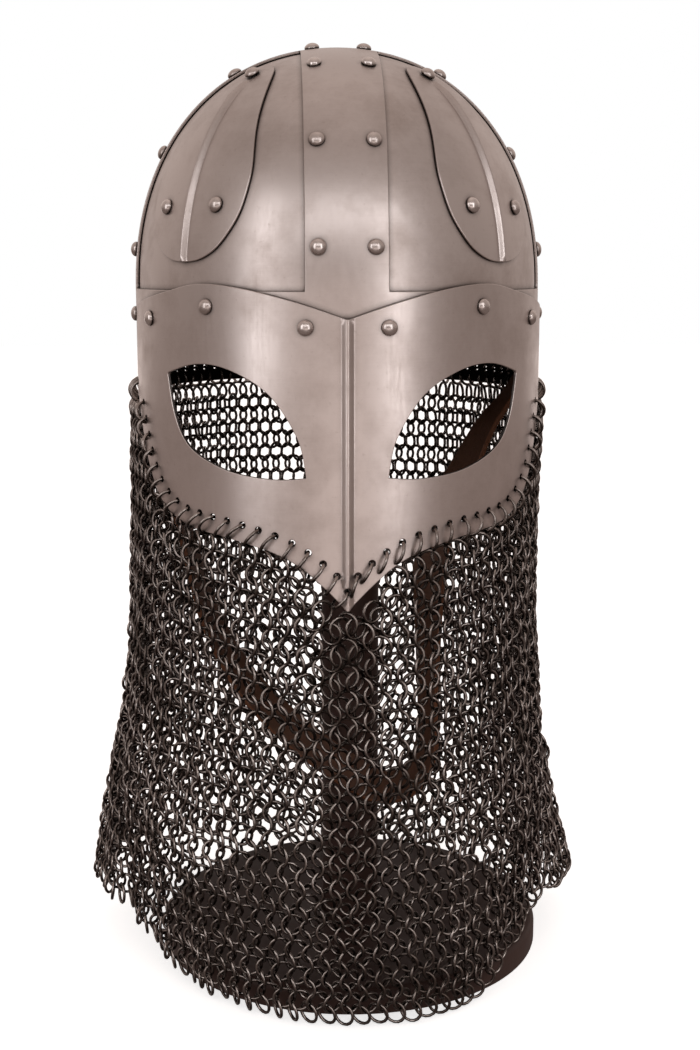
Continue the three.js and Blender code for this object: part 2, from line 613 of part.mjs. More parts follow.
function add(group, name, solid, look) {
  const mesh = new THREE.Mesh(geometryOf(solid), new THREE.MeshStandardMaterial(look));
  mesh.name = name;
  group.add(mesh);
}

// Left and right as seen from the front
const SIDES = { '-1': 'left', 1: 'right' };
const ENDS = { '-1': 'front', 1: 'rear' };

add(stand, 'stand_base', standBase(), STAINED_WOOD);
add(stand, 'stand_post', standPost(), STAINED_WOOD);
add(helmet, 'band_frame', bandFrame(), STEEL);
add(helmet, 'mask_plate', maskPlate(), STEEL);
add(helmet, 'aventail', aventail(), MAIL_STEEL);
add(helmet, 'chin_strap', chinStrap(), LEATHER);

// Rivets on the crest, the side bands, their crossing, the brow band and the mask
const BAND_RIVETS = [0.165, 0.565, 0.885]; // shares of the crown's rise
const CROSSING_RIVET = 0.985;
const MASK_RIVETS = [[0.142, 37.8], [0.515, 46.4], [0.847, 40.2]]; // [share of the side angle, level]

const facetOfFrame = facetsOf(bowlShell(0, 0, -FRAME_THICKNESS));
const facetOfMask = facetsOf(maskWall());

for (const [rightward, backward] of QUARTERS) {
  const place = `${ENDS[backward]}_${SIDES[rightward]}`;
  const onFrame = (name, spot) => {
    spot.set(Math.abs(spot.x) * rightward, Math.abs(spot.y) * backward, spot.z);
    add(helmet, name, rivetHead(facetOfFrame(spot), GAP), DARK_STEEL);
  };
  const lean = radians(backward < 0 ? LEAF_ANGLE : 180 - LEAF_ANGLE);
  add(helmet, `skull_plate_${place}`, skullPlate(rightward, backward), STEEL);
  add(helmet, `leaf_${place}`, leaf(rightward * lean), STEEL);
  BAND_RIVETS.forEach((share, i) => {
    onFrame(`crest_rivet_${place}_${i + 1}`, besideMiddle(share, RIVET_SPAN / 2, 'x'));
    onFrame(`side_rivet_${place}_${i + 1}`, besideMiddle(share, RIVET_SPAN / 2, 'y'));
  });
  const crossing = besideMiddle(CROSSING_RIVET, RIVET_SPAN / 2, 'x');
  onFrame(`crossing_rivet_${place}`, crossing);
  onFrame(`brow_rivet_${place}`, onBowl(Math.PI / 2 - RIVET_SPAN / HELMET_DEPTH, upright(BROW_RIVET_LEVEL), 0));
  MASK_RIVETS.forEach(([share, level], i) => {
    const angle = share * SIDE_ANGLE;
    if (backward < 0) {
      const spot = onBowl(rightward * angle, upright(level), MASK_OUT);
      add(helmet, `mask_rivet_${SIDES[rightward]}_${i + 1}`, rivetHead(facetOfMask(spot), GAP), DARK_STEEL);
    } else {
      onFrame(`nape_rivet_${SIDES[rightward]}_${i + 1}`, onBowl(angle, upright(BROW_RIVET_LEVEL), 0));
    }
  });
}

const model = new THREE.Group();
model.add(stand, helmet);

export default model;
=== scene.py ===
"""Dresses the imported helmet: satin steel sheets, riveted bands, a mail aventail of rings and its stand."""

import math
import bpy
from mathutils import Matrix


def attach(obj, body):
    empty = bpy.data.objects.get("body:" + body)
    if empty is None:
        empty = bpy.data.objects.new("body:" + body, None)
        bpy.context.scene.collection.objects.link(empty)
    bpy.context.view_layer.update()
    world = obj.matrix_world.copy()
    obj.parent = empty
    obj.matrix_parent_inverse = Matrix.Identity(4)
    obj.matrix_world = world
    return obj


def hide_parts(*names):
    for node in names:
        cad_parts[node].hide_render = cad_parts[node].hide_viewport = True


bl_info = {
    "name": "Steel helmet with mail",
    "version": (1, 0, 0),
    "blender": (4, 5, 0),
    "location": "View3D > Sidebar > Helmet",
    "description": "Builds a banded steel helmet with an eye mask, a mail aventail and a post stand",
    "category": "Object",
}

import bpy
import numpy as np
from mathutils import Vector
from mathutils.geometry import delaunay_2d_cdt

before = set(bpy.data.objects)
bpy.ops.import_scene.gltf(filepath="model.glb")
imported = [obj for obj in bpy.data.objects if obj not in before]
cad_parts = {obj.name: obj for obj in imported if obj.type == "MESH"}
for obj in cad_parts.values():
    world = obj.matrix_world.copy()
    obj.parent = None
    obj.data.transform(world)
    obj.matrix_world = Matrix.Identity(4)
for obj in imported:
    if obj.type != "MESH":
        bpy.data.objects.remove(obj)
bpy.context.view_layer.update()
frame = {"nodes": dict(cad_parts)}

SIDES = {-1: "left", 1: "right"}
ENDS = {-1: "front", 1: "rear"}
QUARTERS = [(-1, -1), (1, -1), (-1, 1), (1, 1)]  # (rightward, backward)


def quarter_name(rightward, backward):
    return f"{ENDS[backward]}_{SIDES[rightward]}"


# Properties


def length(name, default, description):
    return bpy.props.FloatProperty(
        name=name, description=description, default=default, min=0.0, precision=5, unit="LENGTH"
    )


def turn(name, degrees, description):
    return bpy.props.FloatProperty(
        name=name, description=description, default=math.radians(degrees), subtype="ANGLE"
    )


def number(name, default, description):
    return bpy.props.FloatProperty(name=name, description=description, default=default, min=0.0)


def count(name, default, description):
    return bpy.props.IntProperty(name=name, description=description, default=default, min=3)


def colour(name, default, description):
    return bpy.props.FloatVectorProperty(
        name=name, description=description, default=default, size=4, min=0.0, max=1.0, subtype="COLOR"
    )


class HelmetBowlSizes(bpy.types.PropertyGroup):
    width: length("Width", 0.203, "Outside width of the bowl")
    depth: length("Depth", 0.2324, "Outside depth of the bowl, front to back")
    rim: length("Rim height", 0.2935, "Rim above the floor")
    brow: length("Brow band", 0.0534, "Height of the upright brow band")
    crown: length("Crown rise", 0.1166, "Dome above the brow band")
    roundness: number("Roundness", 2.15, "Exponent of the dome's outline; 2 is an ellipse")
    shift: length("Shift", 0.0068, "The helmet sits this far left of the stand's axis")
    gap: length("Gap", 0.0003, "Clearance between touching sheets")
    frame: length("Frame sheet", 0.0015, "Thickness of the band frame")
    plate: length("Skull plate sheet", 0.0013, "Thickness of the skull plates")
    crest: length("Crest band", 0.037, "Width of the crest band")
    side: length("Side bands", 0.037, "Width of the ear-to-ear bands")
    lap: length("Plate lap", 0.021, "The skull plates run down behind the brow band by this much")
    parting: length("Plate parting", 0.008, "Between neighbouring skull plates, behind the bands")
    cut_height: length("Brow cut height", 0.024, "The brow band is cut away up to here behind the eyes")
    cut_back: length("Brow cut back", 0.058, "The brow cut ends this far in front of the middle")
    edge: length("Edge rounding", 0.0004, "Radius of the sheets' rounded edges")
    hole: length("Hole", 0.003, "Diameter of the hanging holes")
    hole_pitch: length("Hole pitch", 0.0083, "Between neighbouring hanging holes")
    hole_inset: length("Hole inset", 0.008, "Hanging holes from the sheet's edge")


class HelmetLeafSizes(bpy.types.PropertyGroup):
    long: length("Length", 0.114, "Leaf along the dome, foot to tip")
    width: length("Width", 0.0688, "Widest part of the leaf")
    foot: length("Foot", 0.0662, "Lowest point above the rim")
    angle: turn("Angle", 46.5, "Round from the crest to the leaf's centre line")
    sheet: length("Sheet", 0.0012, "Thickness of the leaf")
    rib: length("Rib width", 0.0052, "Foot of the raised centre rib")
    rib_rise: length("Rib rise", 0.0021, "Height of the centre rib")


class HelmetMaskSizes(bpy.types.PropertyGroup):
    sheet: length("Sheet", 0.0016, "Thickness of the mask")
    angle: turn("Side angle", 72, "From the nose to each upright side edge")
    valley: length("Top at the nose", 0.0413, "Top edge over the nose, above the rim")
    arch: length("Top of the arch", 0.0566, "Highest point of the top edge, above the rim")
    nose: length("Nose drop", 0.089, "Nose tip below the rim")
    rib: length("Nose rib width", 0.0060, "Width of the raised nose rib")
    rib_rise: length("Nose rib rise", 0.0019, "Height of the nose rib")
    eye_inset: length("Eye inset", 0.0182, "Nose line to the inner corner of the eye hole")
    eye_length: length("Eye length", 0.0777, "Eye hole, corner to corner")
    eye_height: length("Eye height", 0.050, "Eye hole, lowest to highest point")
    eye_drop: length("Eye drop", 0.0295, "Lowest point of the eye hole below the rim")


class HelmetRivetSizes(bpy.types.PropertyGroup):
    width: length("Width", 0.0072, "Diameter of a rivet head")
    rise: length("Rise", 0.0028, "Height of a rivet head")
    span: length("Span", 0.0252, "Between the two rows on a band")
    leaf_span: length("Leaf span", 0.037, "Between the two lower rivets of a leaf")
    level: length("Brow level", 0.041, "Rivets of the brow band above the rim")


class HelmetMailSizes(bpy.types.PropertyGroup):
    ring: length("Ring", 0.0116, "Outside diameter of a ring")
    wire: length("Wire", 0.0016, "Diameter of the wire")
    front_pitch: length("Front pitch", 0.0076, "Between neighbouring rings of a row, in front")
    flank_pitch: length("Flank pitch", 0.0060, "Between neighbouring rings of a row, at the sides")
    back_pitch: length("Back pitch", 0.0071, "Between neighbouring rings of a row, at the back")
    rows: count("Rows", 37, "Rows of rings, rim to hem")
    lean_left: length("Lean to the left", 0.009, "The lower part of the mail hangs this far to the left")
    on_foot: length("On the foot", 0.013, "Right of the front the hem lies this much higher, on the foot")
    fold: length("Folds", 0.0013, "Depth of the upright folds in the flanks")
    lean: turn("Lean", 30, "Rings lean this way and that in turn, row by row")
    standoff: length("Standoff", 0.0008, "Middle of the mail outside the brow band")
    bulge: length("Bulge", 0.004, "The mail fills out by this much half way down")
    flare: length("Flare", 0.026, "The side flaps spread by this much at the hem")
    front_hem: length("Front hem", 0.0006, "Hem above the floor in front")
    side_hem: length("Side hem", 0.025, "Hem above the floor at the sides")
    back_hem: length("Back hem", 0.005, "Hem above the floor at the back")
    wrap: length("Wrap", 0.008, "Middle of the mail outside the stand's foot, in front")


class HelmetStrapSizes(bpy.types.PropertyGroup):
    width: length("Width", 0.018, "Width of the chin strap")
    thick: length("Thickness", 0.003, "Thickness of the leather")
    hang: length("Hang", 0.206, "Rim to the strap's lowest point")
    forward: length("Forward", 0.027, "The strap passes this far in front of the middle")


class HelmetStandSizes(bpy.types.PropertyGroup):
    base: length("Base", 0.2, "Diameter of the foot")
    height: length("Base height", 0.013, "Thickness of the foot")
    round: length("Base rounding", 0.004, "Radius of the foot's upper edge")
    post: length("Post", 0.03, "Diameter of the post")
    socket: length("Socket", 0.008, "Depth of the post's seat")
    pad: length("Pad", 0.066, "Diameter of the pad under the crown")
    pad_depth: length("Pad depth", 0.032, "Height of the pad's upright side below the crown")


class HelmetColours(bpy.types.PropertyGroup):
    steel: colour("Steel", (0.60, 0.525, 0.495, 1), "Satin steel sheet")
    tarnish: colour("Tarnish", (0.36, 0.285, 0.25, 1), "Faint brown stain on the steel")
    # near-black inside of the sheets: painted shade for the helmet's dark interior
    inner: colour("Inside", (0.012, 0.010, 0.009, 1), "Blackened inside of the sheets")
    rivet: colour("Rivets", (0.72, 0.635, 0.60, 1), "Rivet heads")
    mail: colour("Mail", (0.46, 0.40, 0.37, 1), "Dark oiled wire")
    mail_rust: colour("Mail stain", (0.10, 0.072, 0.058, 1), "Brown stain between the rings")
    leather: colour("Leather", (0.145, 0.060, 0.030, 1), "Dark face of the strap")
    leather_edge: colour("Leather edge", (0.24, 0.085, 0.032, 1), "Cut edge of the strap")
    stand: colour("Stand", (0.044, 0.023, 0.018, 1), "Dark stain of the stand")
    floor: colour("Floor", (0.93, 0.925, 0.92, 1), "Pale floor")


GROUPS = {
    "helmet_bowl": HelmetBowlSizes,
    "helmet_leaf": HelmetLeafSizes,
    "helmet_mask": HelmetMaskSizes,
    "helmet_rivet": HelmetRivetSizes,
    "helmet_mail": HelmetMailSizes,
    "helmet_strap": HelmetStrapSizes,
    "helmet_stand": HelmetStandSizes,
    "helmet_colours": HelmetColours,
}


# Lines and surfaces


def mix(a, b, share):
    return a + (b - a) * share


def unit(v):
    return v / np.linalg.norm(v, axis=-1, keepdims=True)


def smooth_line(rows, steps):
    """A smooth line through a few given points, as steps + 1 points."""
    rows = np.asarray(rows, float)
    place = np.linspace(0, len(rows) - 1, steps + 1)
    first = np.minimum(place.astype(int), len(rows) - 2)
    t = (place - first)[:, None]
    before, a, b = rows[np.maximum(first - 1, 0)], rows[first], rows[first + 1]
    after = rows[np.minimum(first + 2, len(rows) - 1)]
    leave, arrive = (b - before) / 2, (after - a) / 2
    cubic, square = 2 * a - 2 * b + leave + arrive, 3 * b - 3 * a - 2 * leave - arrive
    return cubic * t**3 + square * t**2 + leave * t + a


def walked(line):
    """How far along the line each of its points lies."""
    return np.r_[0, np.cumsum(np.linalg.norm(np.diff(line, axis=0), axis=1))]


def at_places(line, places):
    """Points at distances along the line."""
    along = walked(line)
    return np.stack([np.interp(places, along, line[:, k]) for k in range(line.shape[1])], axis=1)


def resample(line, step, closed=False):
    """The same line with its points evenly spaced."""
    line = np.vstack([line, line[:1]]) if closed else np.asarray(line)
    whole = walked(line)[-1]
    n = max(2, int(round(whole / step)))
    points = at_places(line, np.linspace(0, whole, n + 1))
    return points[:-1] if closed else points


def full_turn(steps):
    """Even steps round a full turn, in radians."""
    return np.arange(steps) / steps * 2 * math.pi


def circle(centre, radius, steps=12):
    turns = full_turn(steps)
    return np.stack([centre[0] + radius * np.cos(turns), centre[1] + radius * np.sin(turns)], axis=1)


def corner_arc(centre, radius, start, end, steps=6):
    turns = np.radians(np.linspace(start, end, steps + 1))
    return np.stack([centre[0] + radius * np.cos(turns), centre[1] + radius * np.sin(turns)], axis=1)


def inside(points, loop):
    """Which points lie inside a closed flat loop."""
    found = np.zeros(len(points), bool)
    low, high = loop.min(0), loop.max(0)
    near = np.flatnonzero(((points >= low) & (points <= high)).all(1))
    x, y = points[near, 0][:, None], points[near, 1][:, None]
    (x0, y0), (x1, y1) = loop.T, np.roll(loop, -1, axis=0).T
    rise = np.where(y1 == y0, 1e-12, y1 - y0)
    crossed = ((y0 > y) != (y1 > y)) & (x < (x1 - x0) * (y - y0) / rise + x0)
    found[near] = crossed.sum(1) % 2 == 1
    return found


def near_loop(points, loop, reach, batch=2000):
    """Which points lie within reach of a closed flat loop."""
    found = np.zeros(len(points), bool)
    low, high = loop.min(0) - reach, loop.max(0) + reach
    close = np.flatnonzero(((points >= low) & (points <= high)).all(1))
    a, b = loop, np.roll(loop, -1, axis=0)
    span = b - a
    size = np.maximum((span**2).sum(1), 1e-18)
    for start in range(0, len(close), batch):
        part = close[start : start + batch]
        p = points[part][:, None, :]
        t = np.clip(((p - a) * span).sum(2) / size, 0, 1)
        gap = np.linalg.norm(p - (a + t[..., None] * span), axis=2).min(1)
        found[part] = gap < reach
    return found


def signed_area(loop):
    x, y = loop.T
    return 0.5 * np.sum(x * np.roll(y, -1) - np.roll(x, -1) * y)


class Bowl:
    """The helmet's outer surface. Angle 0 is the nose and 90 degrees is +X; fall is the way down from the
    crown. Its flat map is polar, with the crown in the middle and the nose at the bottom."""

    STEPS = 3000
    SMALL_TURN = 0.01  # radians

    def __init__(self, sizes):
        self.half = np.array([sizes.width / 2, sizes.depth / 2])
        self.brow, self.crown, self.power = sizes.brow, sizes.crown, sizes.roundness
        self.origin = np.array([-sizes.shift, 0.0, sizes.rim])
        self.lean_at = np.linspace(math.pi / 2, 0, self.STEPS)
        self.plan_at = np.maximum(np.cos(self.lean_at), 0) ** (2 / self.power)
        self.rise_at = np.sin(self.lean_at) ** (2 / self.power)
        self.fall_at = self.down_the_dome(self.half.mean())
        self.dome = self.fall_at[-1]
        self.bottom = self.dome + self.brow
        self.turns = np.linspace(0, math.pi, self.STEPS)
        middle = (self.turns[1:] + self.turns[:-1]) / 2
        steps = np.hypot(self.half[0] * np.cos(middle), self.half[1] * np.sin(middle)) * np.diff(self.turns)
        self.arcs = np.r_[0, np.cumsum(steps)]
        self.round = 2 * self.arcs[-1]

    def down_the_dome(self, reach):
        """Distances walked from the crown down a section that ends at this reach from the axis."""
        return walked(np.stack([self.plan_at * reach, self.rise_at * self.crown], axis=1))

    def per_turn(self, angle, fall):
        """Distance sideways for each radian of turn."""
        step = self.at(angle + self.SMALL_TURN, fall) - self.at(angle, fall)
        return np.linalg.norm(step, axis=-1) / self.SMALL_TURN

    def angle(self, arc):
        """Angle at a distance round the upright wall from the nose line, left of it if negative."""
        return np.sign(arc) * np.interp(np.abs(arc), self.arcs, self.turns)

    def arc(self, angle):
        return np.sign(angle) * np.interp(np.abs(angle), self.turns, self.arcs)

    def fall_of_level(self, level):
        """Fall at a height above the rim."""
        rise = np.clip((np.asarray(level, float) - self.brow) / self.crown, 0, 1)
        on_dome = np.interp(-rise, -self.rise_at, self.fall_at)
        return np.where(rise > 0, on_dome, self.bottom - level)

    def at(self, angle, fall, offset=0.0):
        """Places on the surface, or at an offset outside it."""
        angle, fall = np.asarray(angle, float), np.asarray(fall, float)
        plan = np.interp(fall, self.fall_at, self.plan_at)
        rise = np.interp(fall, self.fall_at, self.rise_at)
        z = np.where(fall > self.dome, self.bottom - fall, self.brow + (self.crown + offset) * rise)
        x = (self.half[0] + offset) * plan * np.sin(angle)
        y = -(self.half[1] + offset) * plan * np.cos(angle)
        return np.stack(np.broadcast_arrays(x, y, z), axis=-1) + self.origin

    def place(self, flat):
        return self.at(np.arctan2(flat[:, 0], -flat[:, 1]), np.hypot(flat[:, 0], flat[:, 1]))

    def flat(self, angle, fall):
        angle, fall = np.broadcast_arrays(np.asarray(angle, float), np.asarray(fall, float))
        return np.stack([fall * np.sin(angle), -fall * np.cos(angle)], axis=-1)

    def map(self, points):
        """Back from the surface to the flat map."""
        x, y, z = (np.asarray(points) - self.origin).T
        x, y = x / self.half[0], y / self.half[1]
        angle, plan = np.arctan2(x, -y), np.hypot(x, y)
        rise = np.maximum(z - self.brow, 0) / self.crown
        lean = np.arctan2(rise ** (self.power / 2), plan ** (self.power / 2))
        fall = np.interp(-lean, -self.lean_at, self.fall_at)
        return self.flat(angle, np.where(z < self.brow, self.bottom - z, fall))

    def lattice(self, step, low=0.0, high=None):
        """Evenly spread points of the flat map between two falls."""
        rows = []
        for i, fall in enumerate(np.arange(max(low, step / 2), high or self.bottom, step)):
            plan = np.interp(fall, self.fall_at, self.plan_at)
            n = max(6, int(round(plan * self.round / step)))
            rows.append(self.flat((np.arange(n) + 0.5 * (i % 2)) / n * 2 * math.pi, fall))
        return np.vstack(rows)


class Wall:
    """The upright part of the bowl, unrolled: across from the nose line, and up from the rim."""

    def __init__(self, bowl):
        self.bowl = bowl

    def place(self, flat):
        angle = self.bowl.angle(flat[:, 0])
        return self.bowl.at(angle, self.bowl.bottom - flat[:, 1])

    def map(self, points):
        x, y, z = (np.asarray(points) - self.bowl.origin).T
        angle = np.arctan2(x / self.bowl.half[0], -y / self.bowl.half[1])
        return np.stack([self.bowl.arc(angle), z], axis=1)


SLOPE_STEP = 0.0002  # step on the flat map that gives a slope


def slopes(place, flat):
    """Normals of a surface, by small steps on its flat map."""
    dx, dy = np.array([SLOPE_STEP, 0]), np.array([0, SLOPE_STEP])
    return unit(np.cross(place(flat + dx) - place(flat - dx), place(flat + dy) - place(flat - dy)))


def plain_normals(surface, flat):
    return slopes(surface.place, flat)


def relief_normals(surface, flat, relief, offset):
    """Normals of the surface with its relief."""

    def raised(q):
        return surface.place(q) + plain_normals(surface, q) * (relief(q) + offset)[:, None]

    return slopes(raised, flat)


# Meshes


def add_mesh(name, points, faces, looks, normals=None, face_looks=None):
    mesh = bpy.data.meshes.new(name)
    mesh.from_pydata(np.asarray(points).tolist(), [], faces)
    for look in looks:
        mesh.materials.append(look)
    if face_looks is not None:
        mesh.polygons.foreach_set("material_index", face_looks)
    mesh.shade_smooth()
    mesh.validate()
    if normals is not None:
        mesh.normals_split_custom_set_from_vertices(np.asarray(normals).tolist())
    piece = bpy.data.objects.new(name, mesh)
    bpy.context.scene.collection.objects.link(piece)
    return piece


def add_piece(name, points, faces, looks, nodes, normals=None, face_looks=None):
    """A piece of the helmet or the stand, with its finishes named, in place of the solids it replaces."""
    piece = add_mesh(name, points, faces, [materials()[look] for look in looks], normals, face_looks)
    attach(piece, "root")
    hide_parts(*nodes)
    return piece


class Sheet:
    """A sheet of metal on a surface: a flat outline with holes, given two faces and rounded edges."""

    def __init__(self, surface, loops, seeds, low, high, edge, relief=None):
        self.points, self.normals, self.faces = [], [], []
        self.size = 0
        rims = [self.rim(surface, loop, k == 0, edge) for k, loop in enumerate(loops)]
        flat, faces, where = self.net([rim[3] for rim in rims], seeds, 3 * edge)
        plain, base = plain_normals(surface, flat), surface.place(flat)
        lift = np.full(len(flat), high) + (relief(flat) if relief else 0)
        top_normals = relief_normals(surface, flat, relief, high) if relief else plain
        top = self.add(base + plain * lift[:, None], top_normals)
        under = self.add(base + plain * low, -plain)
        self.faces += (faces + top).tolist() + (faces[:, ::-1] + under).tolist()
        self.inner = slice(len(faces), 2 * len(faces))
        half = edge * (1 - math.sqrt(0.5))
        first = 0
        for points, normals, out, _ in rims:
            index = np.array([where[first + i] for i in range(len(points))])
            first += len(points)
            over = lift[index][:, None]
            self.join([
                index + top,
                self.add(points - out * half + normals * (over - half), unit(normals + out)),
                self.add(points + normals * (over - edge), out),
                self.add(points + normals * (low + edge), out),
                self.add(points - out * half + normals * (low + half), unit(out - normals)),
                index + under,
            ])

    def rim(self, surface, loop, is_outline, edge):
        """Points, normals and outward directions along a loop, and the border of the flat inside it."""
        loop = loop if (signed_area(loop) > 0) == is_outline else loop[::-1]
        points, normals = surface.place(loop), plain_normals(surface, loop)
        along = unit(np.roll(points, -1, axis=0) - np.roll(points, 1, axis=0))
        out = unit(np.cross(along, normals))
        return points, normals, out, surface.map(points - edge * out)

    def net(self, borders, seeds, clear):
        """Triangles between the borders and over the seeds that lie clear of them, on the flat map."""

        def within(points):
            found = inside(points, borders[0])
            for border in borders[1:]:
                found &= ~inside(points, border)
            return found

        keep = within(seeds)
        edges, first = [], 0
        for border in borders:
            keep &= ~near_loop(seeds, border, clear)
            n = len(border)
            edges += [(first + i, first + (i + 1) % n) for i in range(n)]
            first += n
        points = [Vector(q) for q in np.vstack(borders + [seeds[keep]])]
        verts, _, faces, origin, _, _ = delaunay_2d_cdt(points, edges, [], 1, 1e-9, True)
        flat = np.array([tuple(v) for v in verts])
        faces = np.array([tuple(f) for f in faces])
        where = {old: new for new, olds in enumerate(origin) for old in olds}
        return flat, faces[within(flat[faces].mean(1))], where

    def add(self, points, normals):
        start = self.size
        self.points.append(points)
        self.normals.append(normals)
        self.size += len(points)
        return start

    def join(self, rings):
        """Faces between rings of points, each given by its points' numbers or by the first of them."""
        n = len(rings[0])
        rings = [r if isinstance(r, np.ndarray) else np.arange(n) + r for r in rings]
        for a, b in zip(rings[:-1], rings[1:]):
            self.faces += np.stack([a, b, np.roll(b, -1), np.roll(a, -1)], axis=1).tolist()

    def build(self, name, look, nodes):
        kinds = np.zeros(len(self.faces), int)
        kinds[self.inner] = 1
        points, normals = np.vstack(self.points), np.vstack(self.normals)
        # the inner faces get a near-black finish, painted shade of the dark interior
        looks = [look, "inner_steel"]
        return add_piece(name, points, self.faces, looks, nodes, normals, kinds.tolist())


def lathe(profile, segments):
    """Points and faces of a shape turned round the upright axis, from (radius, height) pairs."""
    radius, height = np.asarray(profile).T
    turns = full_turn(segments)
    x, y = radius[:, None] * np.cos(turns), radius[:, None] * np.sin(turns)
    points = np.stack([x, y, np.repeat(height[:, None], segments, 1)], axis=-1).reshape(-1, 3)
    faces = []
    for r in range(len(profile) - 1):
        for s in range(segments):
            a, b = r * segments + s, r * segments + (s + 1) % segments
            faces.append((a, b, b + segments, a + segments))
    return points, faces


# Materials


def new_material(name):
    material = bpy.data.materials.new(name)
    material.use_nodes = True
    tree = material.node_tree
    tree.nodes.clear()
    shader = tree.nodes.new("ShaderNodeBsdfPrincipled")
    out = tree.nodes.new("ShaderNodeOutputMaterial")
    tree.links.new(shader.outputs["BSDF"], out.inputs["Surface"])
    return material, tree, shader


def new_group(name, inputs, outputs):
    """A shader node group with named inputs, given as (name, socket type, default)."""
    group = bpy.data.node_groups.new(name, "ShaderNodeTree")
    for label, kind, default in inputs:
        group.interface.new_socket(label, in_out="INPUT", socket_type=kind).default_value = default
    for label, kind in outputs:
        group.interface.new_socket(label, in_out="OUTPUT", socket_type=kind)
    return group, group.nodes.new("NodeGroupInput"), group.nodes.new("NodeGroupOutput")


def set_input(tree, socket, value):
    if isinstance(value, bpy.types.NodeSocket):
        tree.links.new(value, socket)
    else:
        socket.default_value = value


def set_inputs(tree, node, values):
    for label, value in values.items():
        set_input(tree, node.inputs[label], value)


def add_node(tree, kind, values):
    """A node with its inputs set, or linked where a value is a socket."""
    node = tree.nodes.new(kind)
    set_inputs(tree, node, values)
    return node


def noise(tree, vector, scale, detail=4.0, rough=0.55):
    values = {"Vector": vector, "Scale": scale, "Detail": detail, "Roughness": rough}
    return add_node(tree, "ShaderNodeTexNoise", values).outputs["Fac"]


def sums(tree, operation, *values):
    node = tree.nodes.new("ShaderNodeMath")
    node.operation = operation
    for socket, value in zip(node.inputs, values):
        set_input(tree, socket, value)
    return node.outputs[0]


def span(tree, value, low, high, to_low=0.0, to_high=1.0):
    values = {"Value": value, "From Min": low, "From Max": high, "To Min": to_low, "To Max": to_high}
    return add_node(tree, "ShaderNodeMapRange", values).outputs["Result"]


def blend_colour(tree, share, a, b):
    node = tree.nodes.new("ShaderNodeMix")
    node.data_type = "RGBA"
    set_inputs(tree, node, {"Factor": share, "A": a, "B": b})
    return node.outputs["Result"]


def stretched(tree, scale):
    where = tree.nodes.new("ShaderNodeTexCoord").outputs["Object"]
    return add_node(tree, "ShaderNodeMapping", {"Vector": where, "Scale": scale}).outputs["Vector"]


def add_bump(tree, shader, height, strength, distance):
    bump = add_node(tree, "ShaderNodeBump", {"Height": height, "Strength": strength, "Distance": distance})
    tree.links.new(bump.outputs["Normal"], shader.inputs["Normal"])


def shaded(colour, share):
    """The colour made darker, or lighter where the share is above 1."""
    return tuple(min(1.0, c * share) for c in colour[:3]) + (1,)


PLAIN = (1, 1, 1)
ROUND_THE_BOWL, UP_THE_BOWL = (60, 60, 2600), (900, 900, 90)  # patterns drawn out level, and upright
CORNER_SHADE_REACH = 0.003  # painted shade darkens corners up to this size
LOOKS_DOWN, LOOKS_UP = -0.3, 0.8  # upright part of the normal, from full to no painted shade on faces that look down
TOP_LIT = 1.1  # how lit a face that looks up counts; above 1 it gets no painted shade
# colour of the painted shade in corners and on faces that look down
PAINTED_SHADE = (0.03, 0.022, 0.018, 1)


def worn_and_shaded_steel_group():
    """Satin steel: fine brushing round the bowl, soft waves of hand-bent sheet, faint stain and specks, and
    painted shade where the lit share is low.
    """
    group, given, out = new_group(
        "worn_steel",
        [
            ("Steel", "NodeSocketColor", (0.5, 0.5, 0.5, 1)),
            ("Tarnish", "NodeSocketColor", (0.3, 0.3, 0.3, 1)),
            ("Stain", "NodeSocketFloat", 0.35),
            ("Gloss", "NodeSocketFloat", 0.34),
            ("Brushing", "NodeSocketFloat", 0.35),
            ("Open", "NodeSocketFloat", 1.0),
            ("Grime", "NodeSocketColor", PAINTED_SHADE),
        ],
        [("Color", "NodeSocketColor"), ("Roughness", "NodeSocketFloat"), ("Height", "NodeSocketFloat")],
    )
    steel, brushing = given.outputs["Steel"], given.outputs["Brushing"]
    plain = stretched(group, PLAIN)
    brush = noise(group, stretched(group, ROUND_THE_BOWL), 1.0, detail=3.0, rough=0.6)
    cross = noise(group, stretched(group, UP_THE_BOWL), 1.0, detail=2.0)
    stain = span(group, noise(group, plain, 26.0, detail=8.0, rough=0.68), 0.44, 0.68)
    specks = span(group, noise(group, plain, 520.0, detail=2.0, rough=0.5), 0.66, 0.78, 0.0, 0.22)
    share = sums(group, "ADD", sums(group, "MULTIPLY", stain, given.outputs["Stain"]), specks)
    streak = sums(group, "MULTIPLY", span(group, brush, 0.3, 0.7, -0.05, 0.05), brushing)
    worn = blend_colour(group, sums(group, "ADD", share, streak), steel, given.outputs["Tarnish"])
    # painted shade: where the lit share from corners and faces that look down is low, the colour turns dark
    unshaded = span(group, given.outputs["Open"], 0.4, 0.94)
    rough = sums(group, "ADD", given.outputs["Gloss"], sums(group, "MULTIPLY", share, 0.2))
    rough = sums(group, "ADD", rough, span(group, cross, 0.3, 0.7, -0.03, 0.03))
    fine = sums(group, "MULTIPLY", brush, sums(group, "MULTIPLY", brushing, 0.05))
    wave = sums(group, "MULTIPLY", noise(group, plain, 34.0, detail=2.0), 0.9)
    set_inputs(group, out, {
        "Color": blend_colour(group, unshaded, given.outputs["Grime"], worn),
        "Roughness": rough,
        "Height": sums(group, "ADD", fine, wave),
    })
    return group


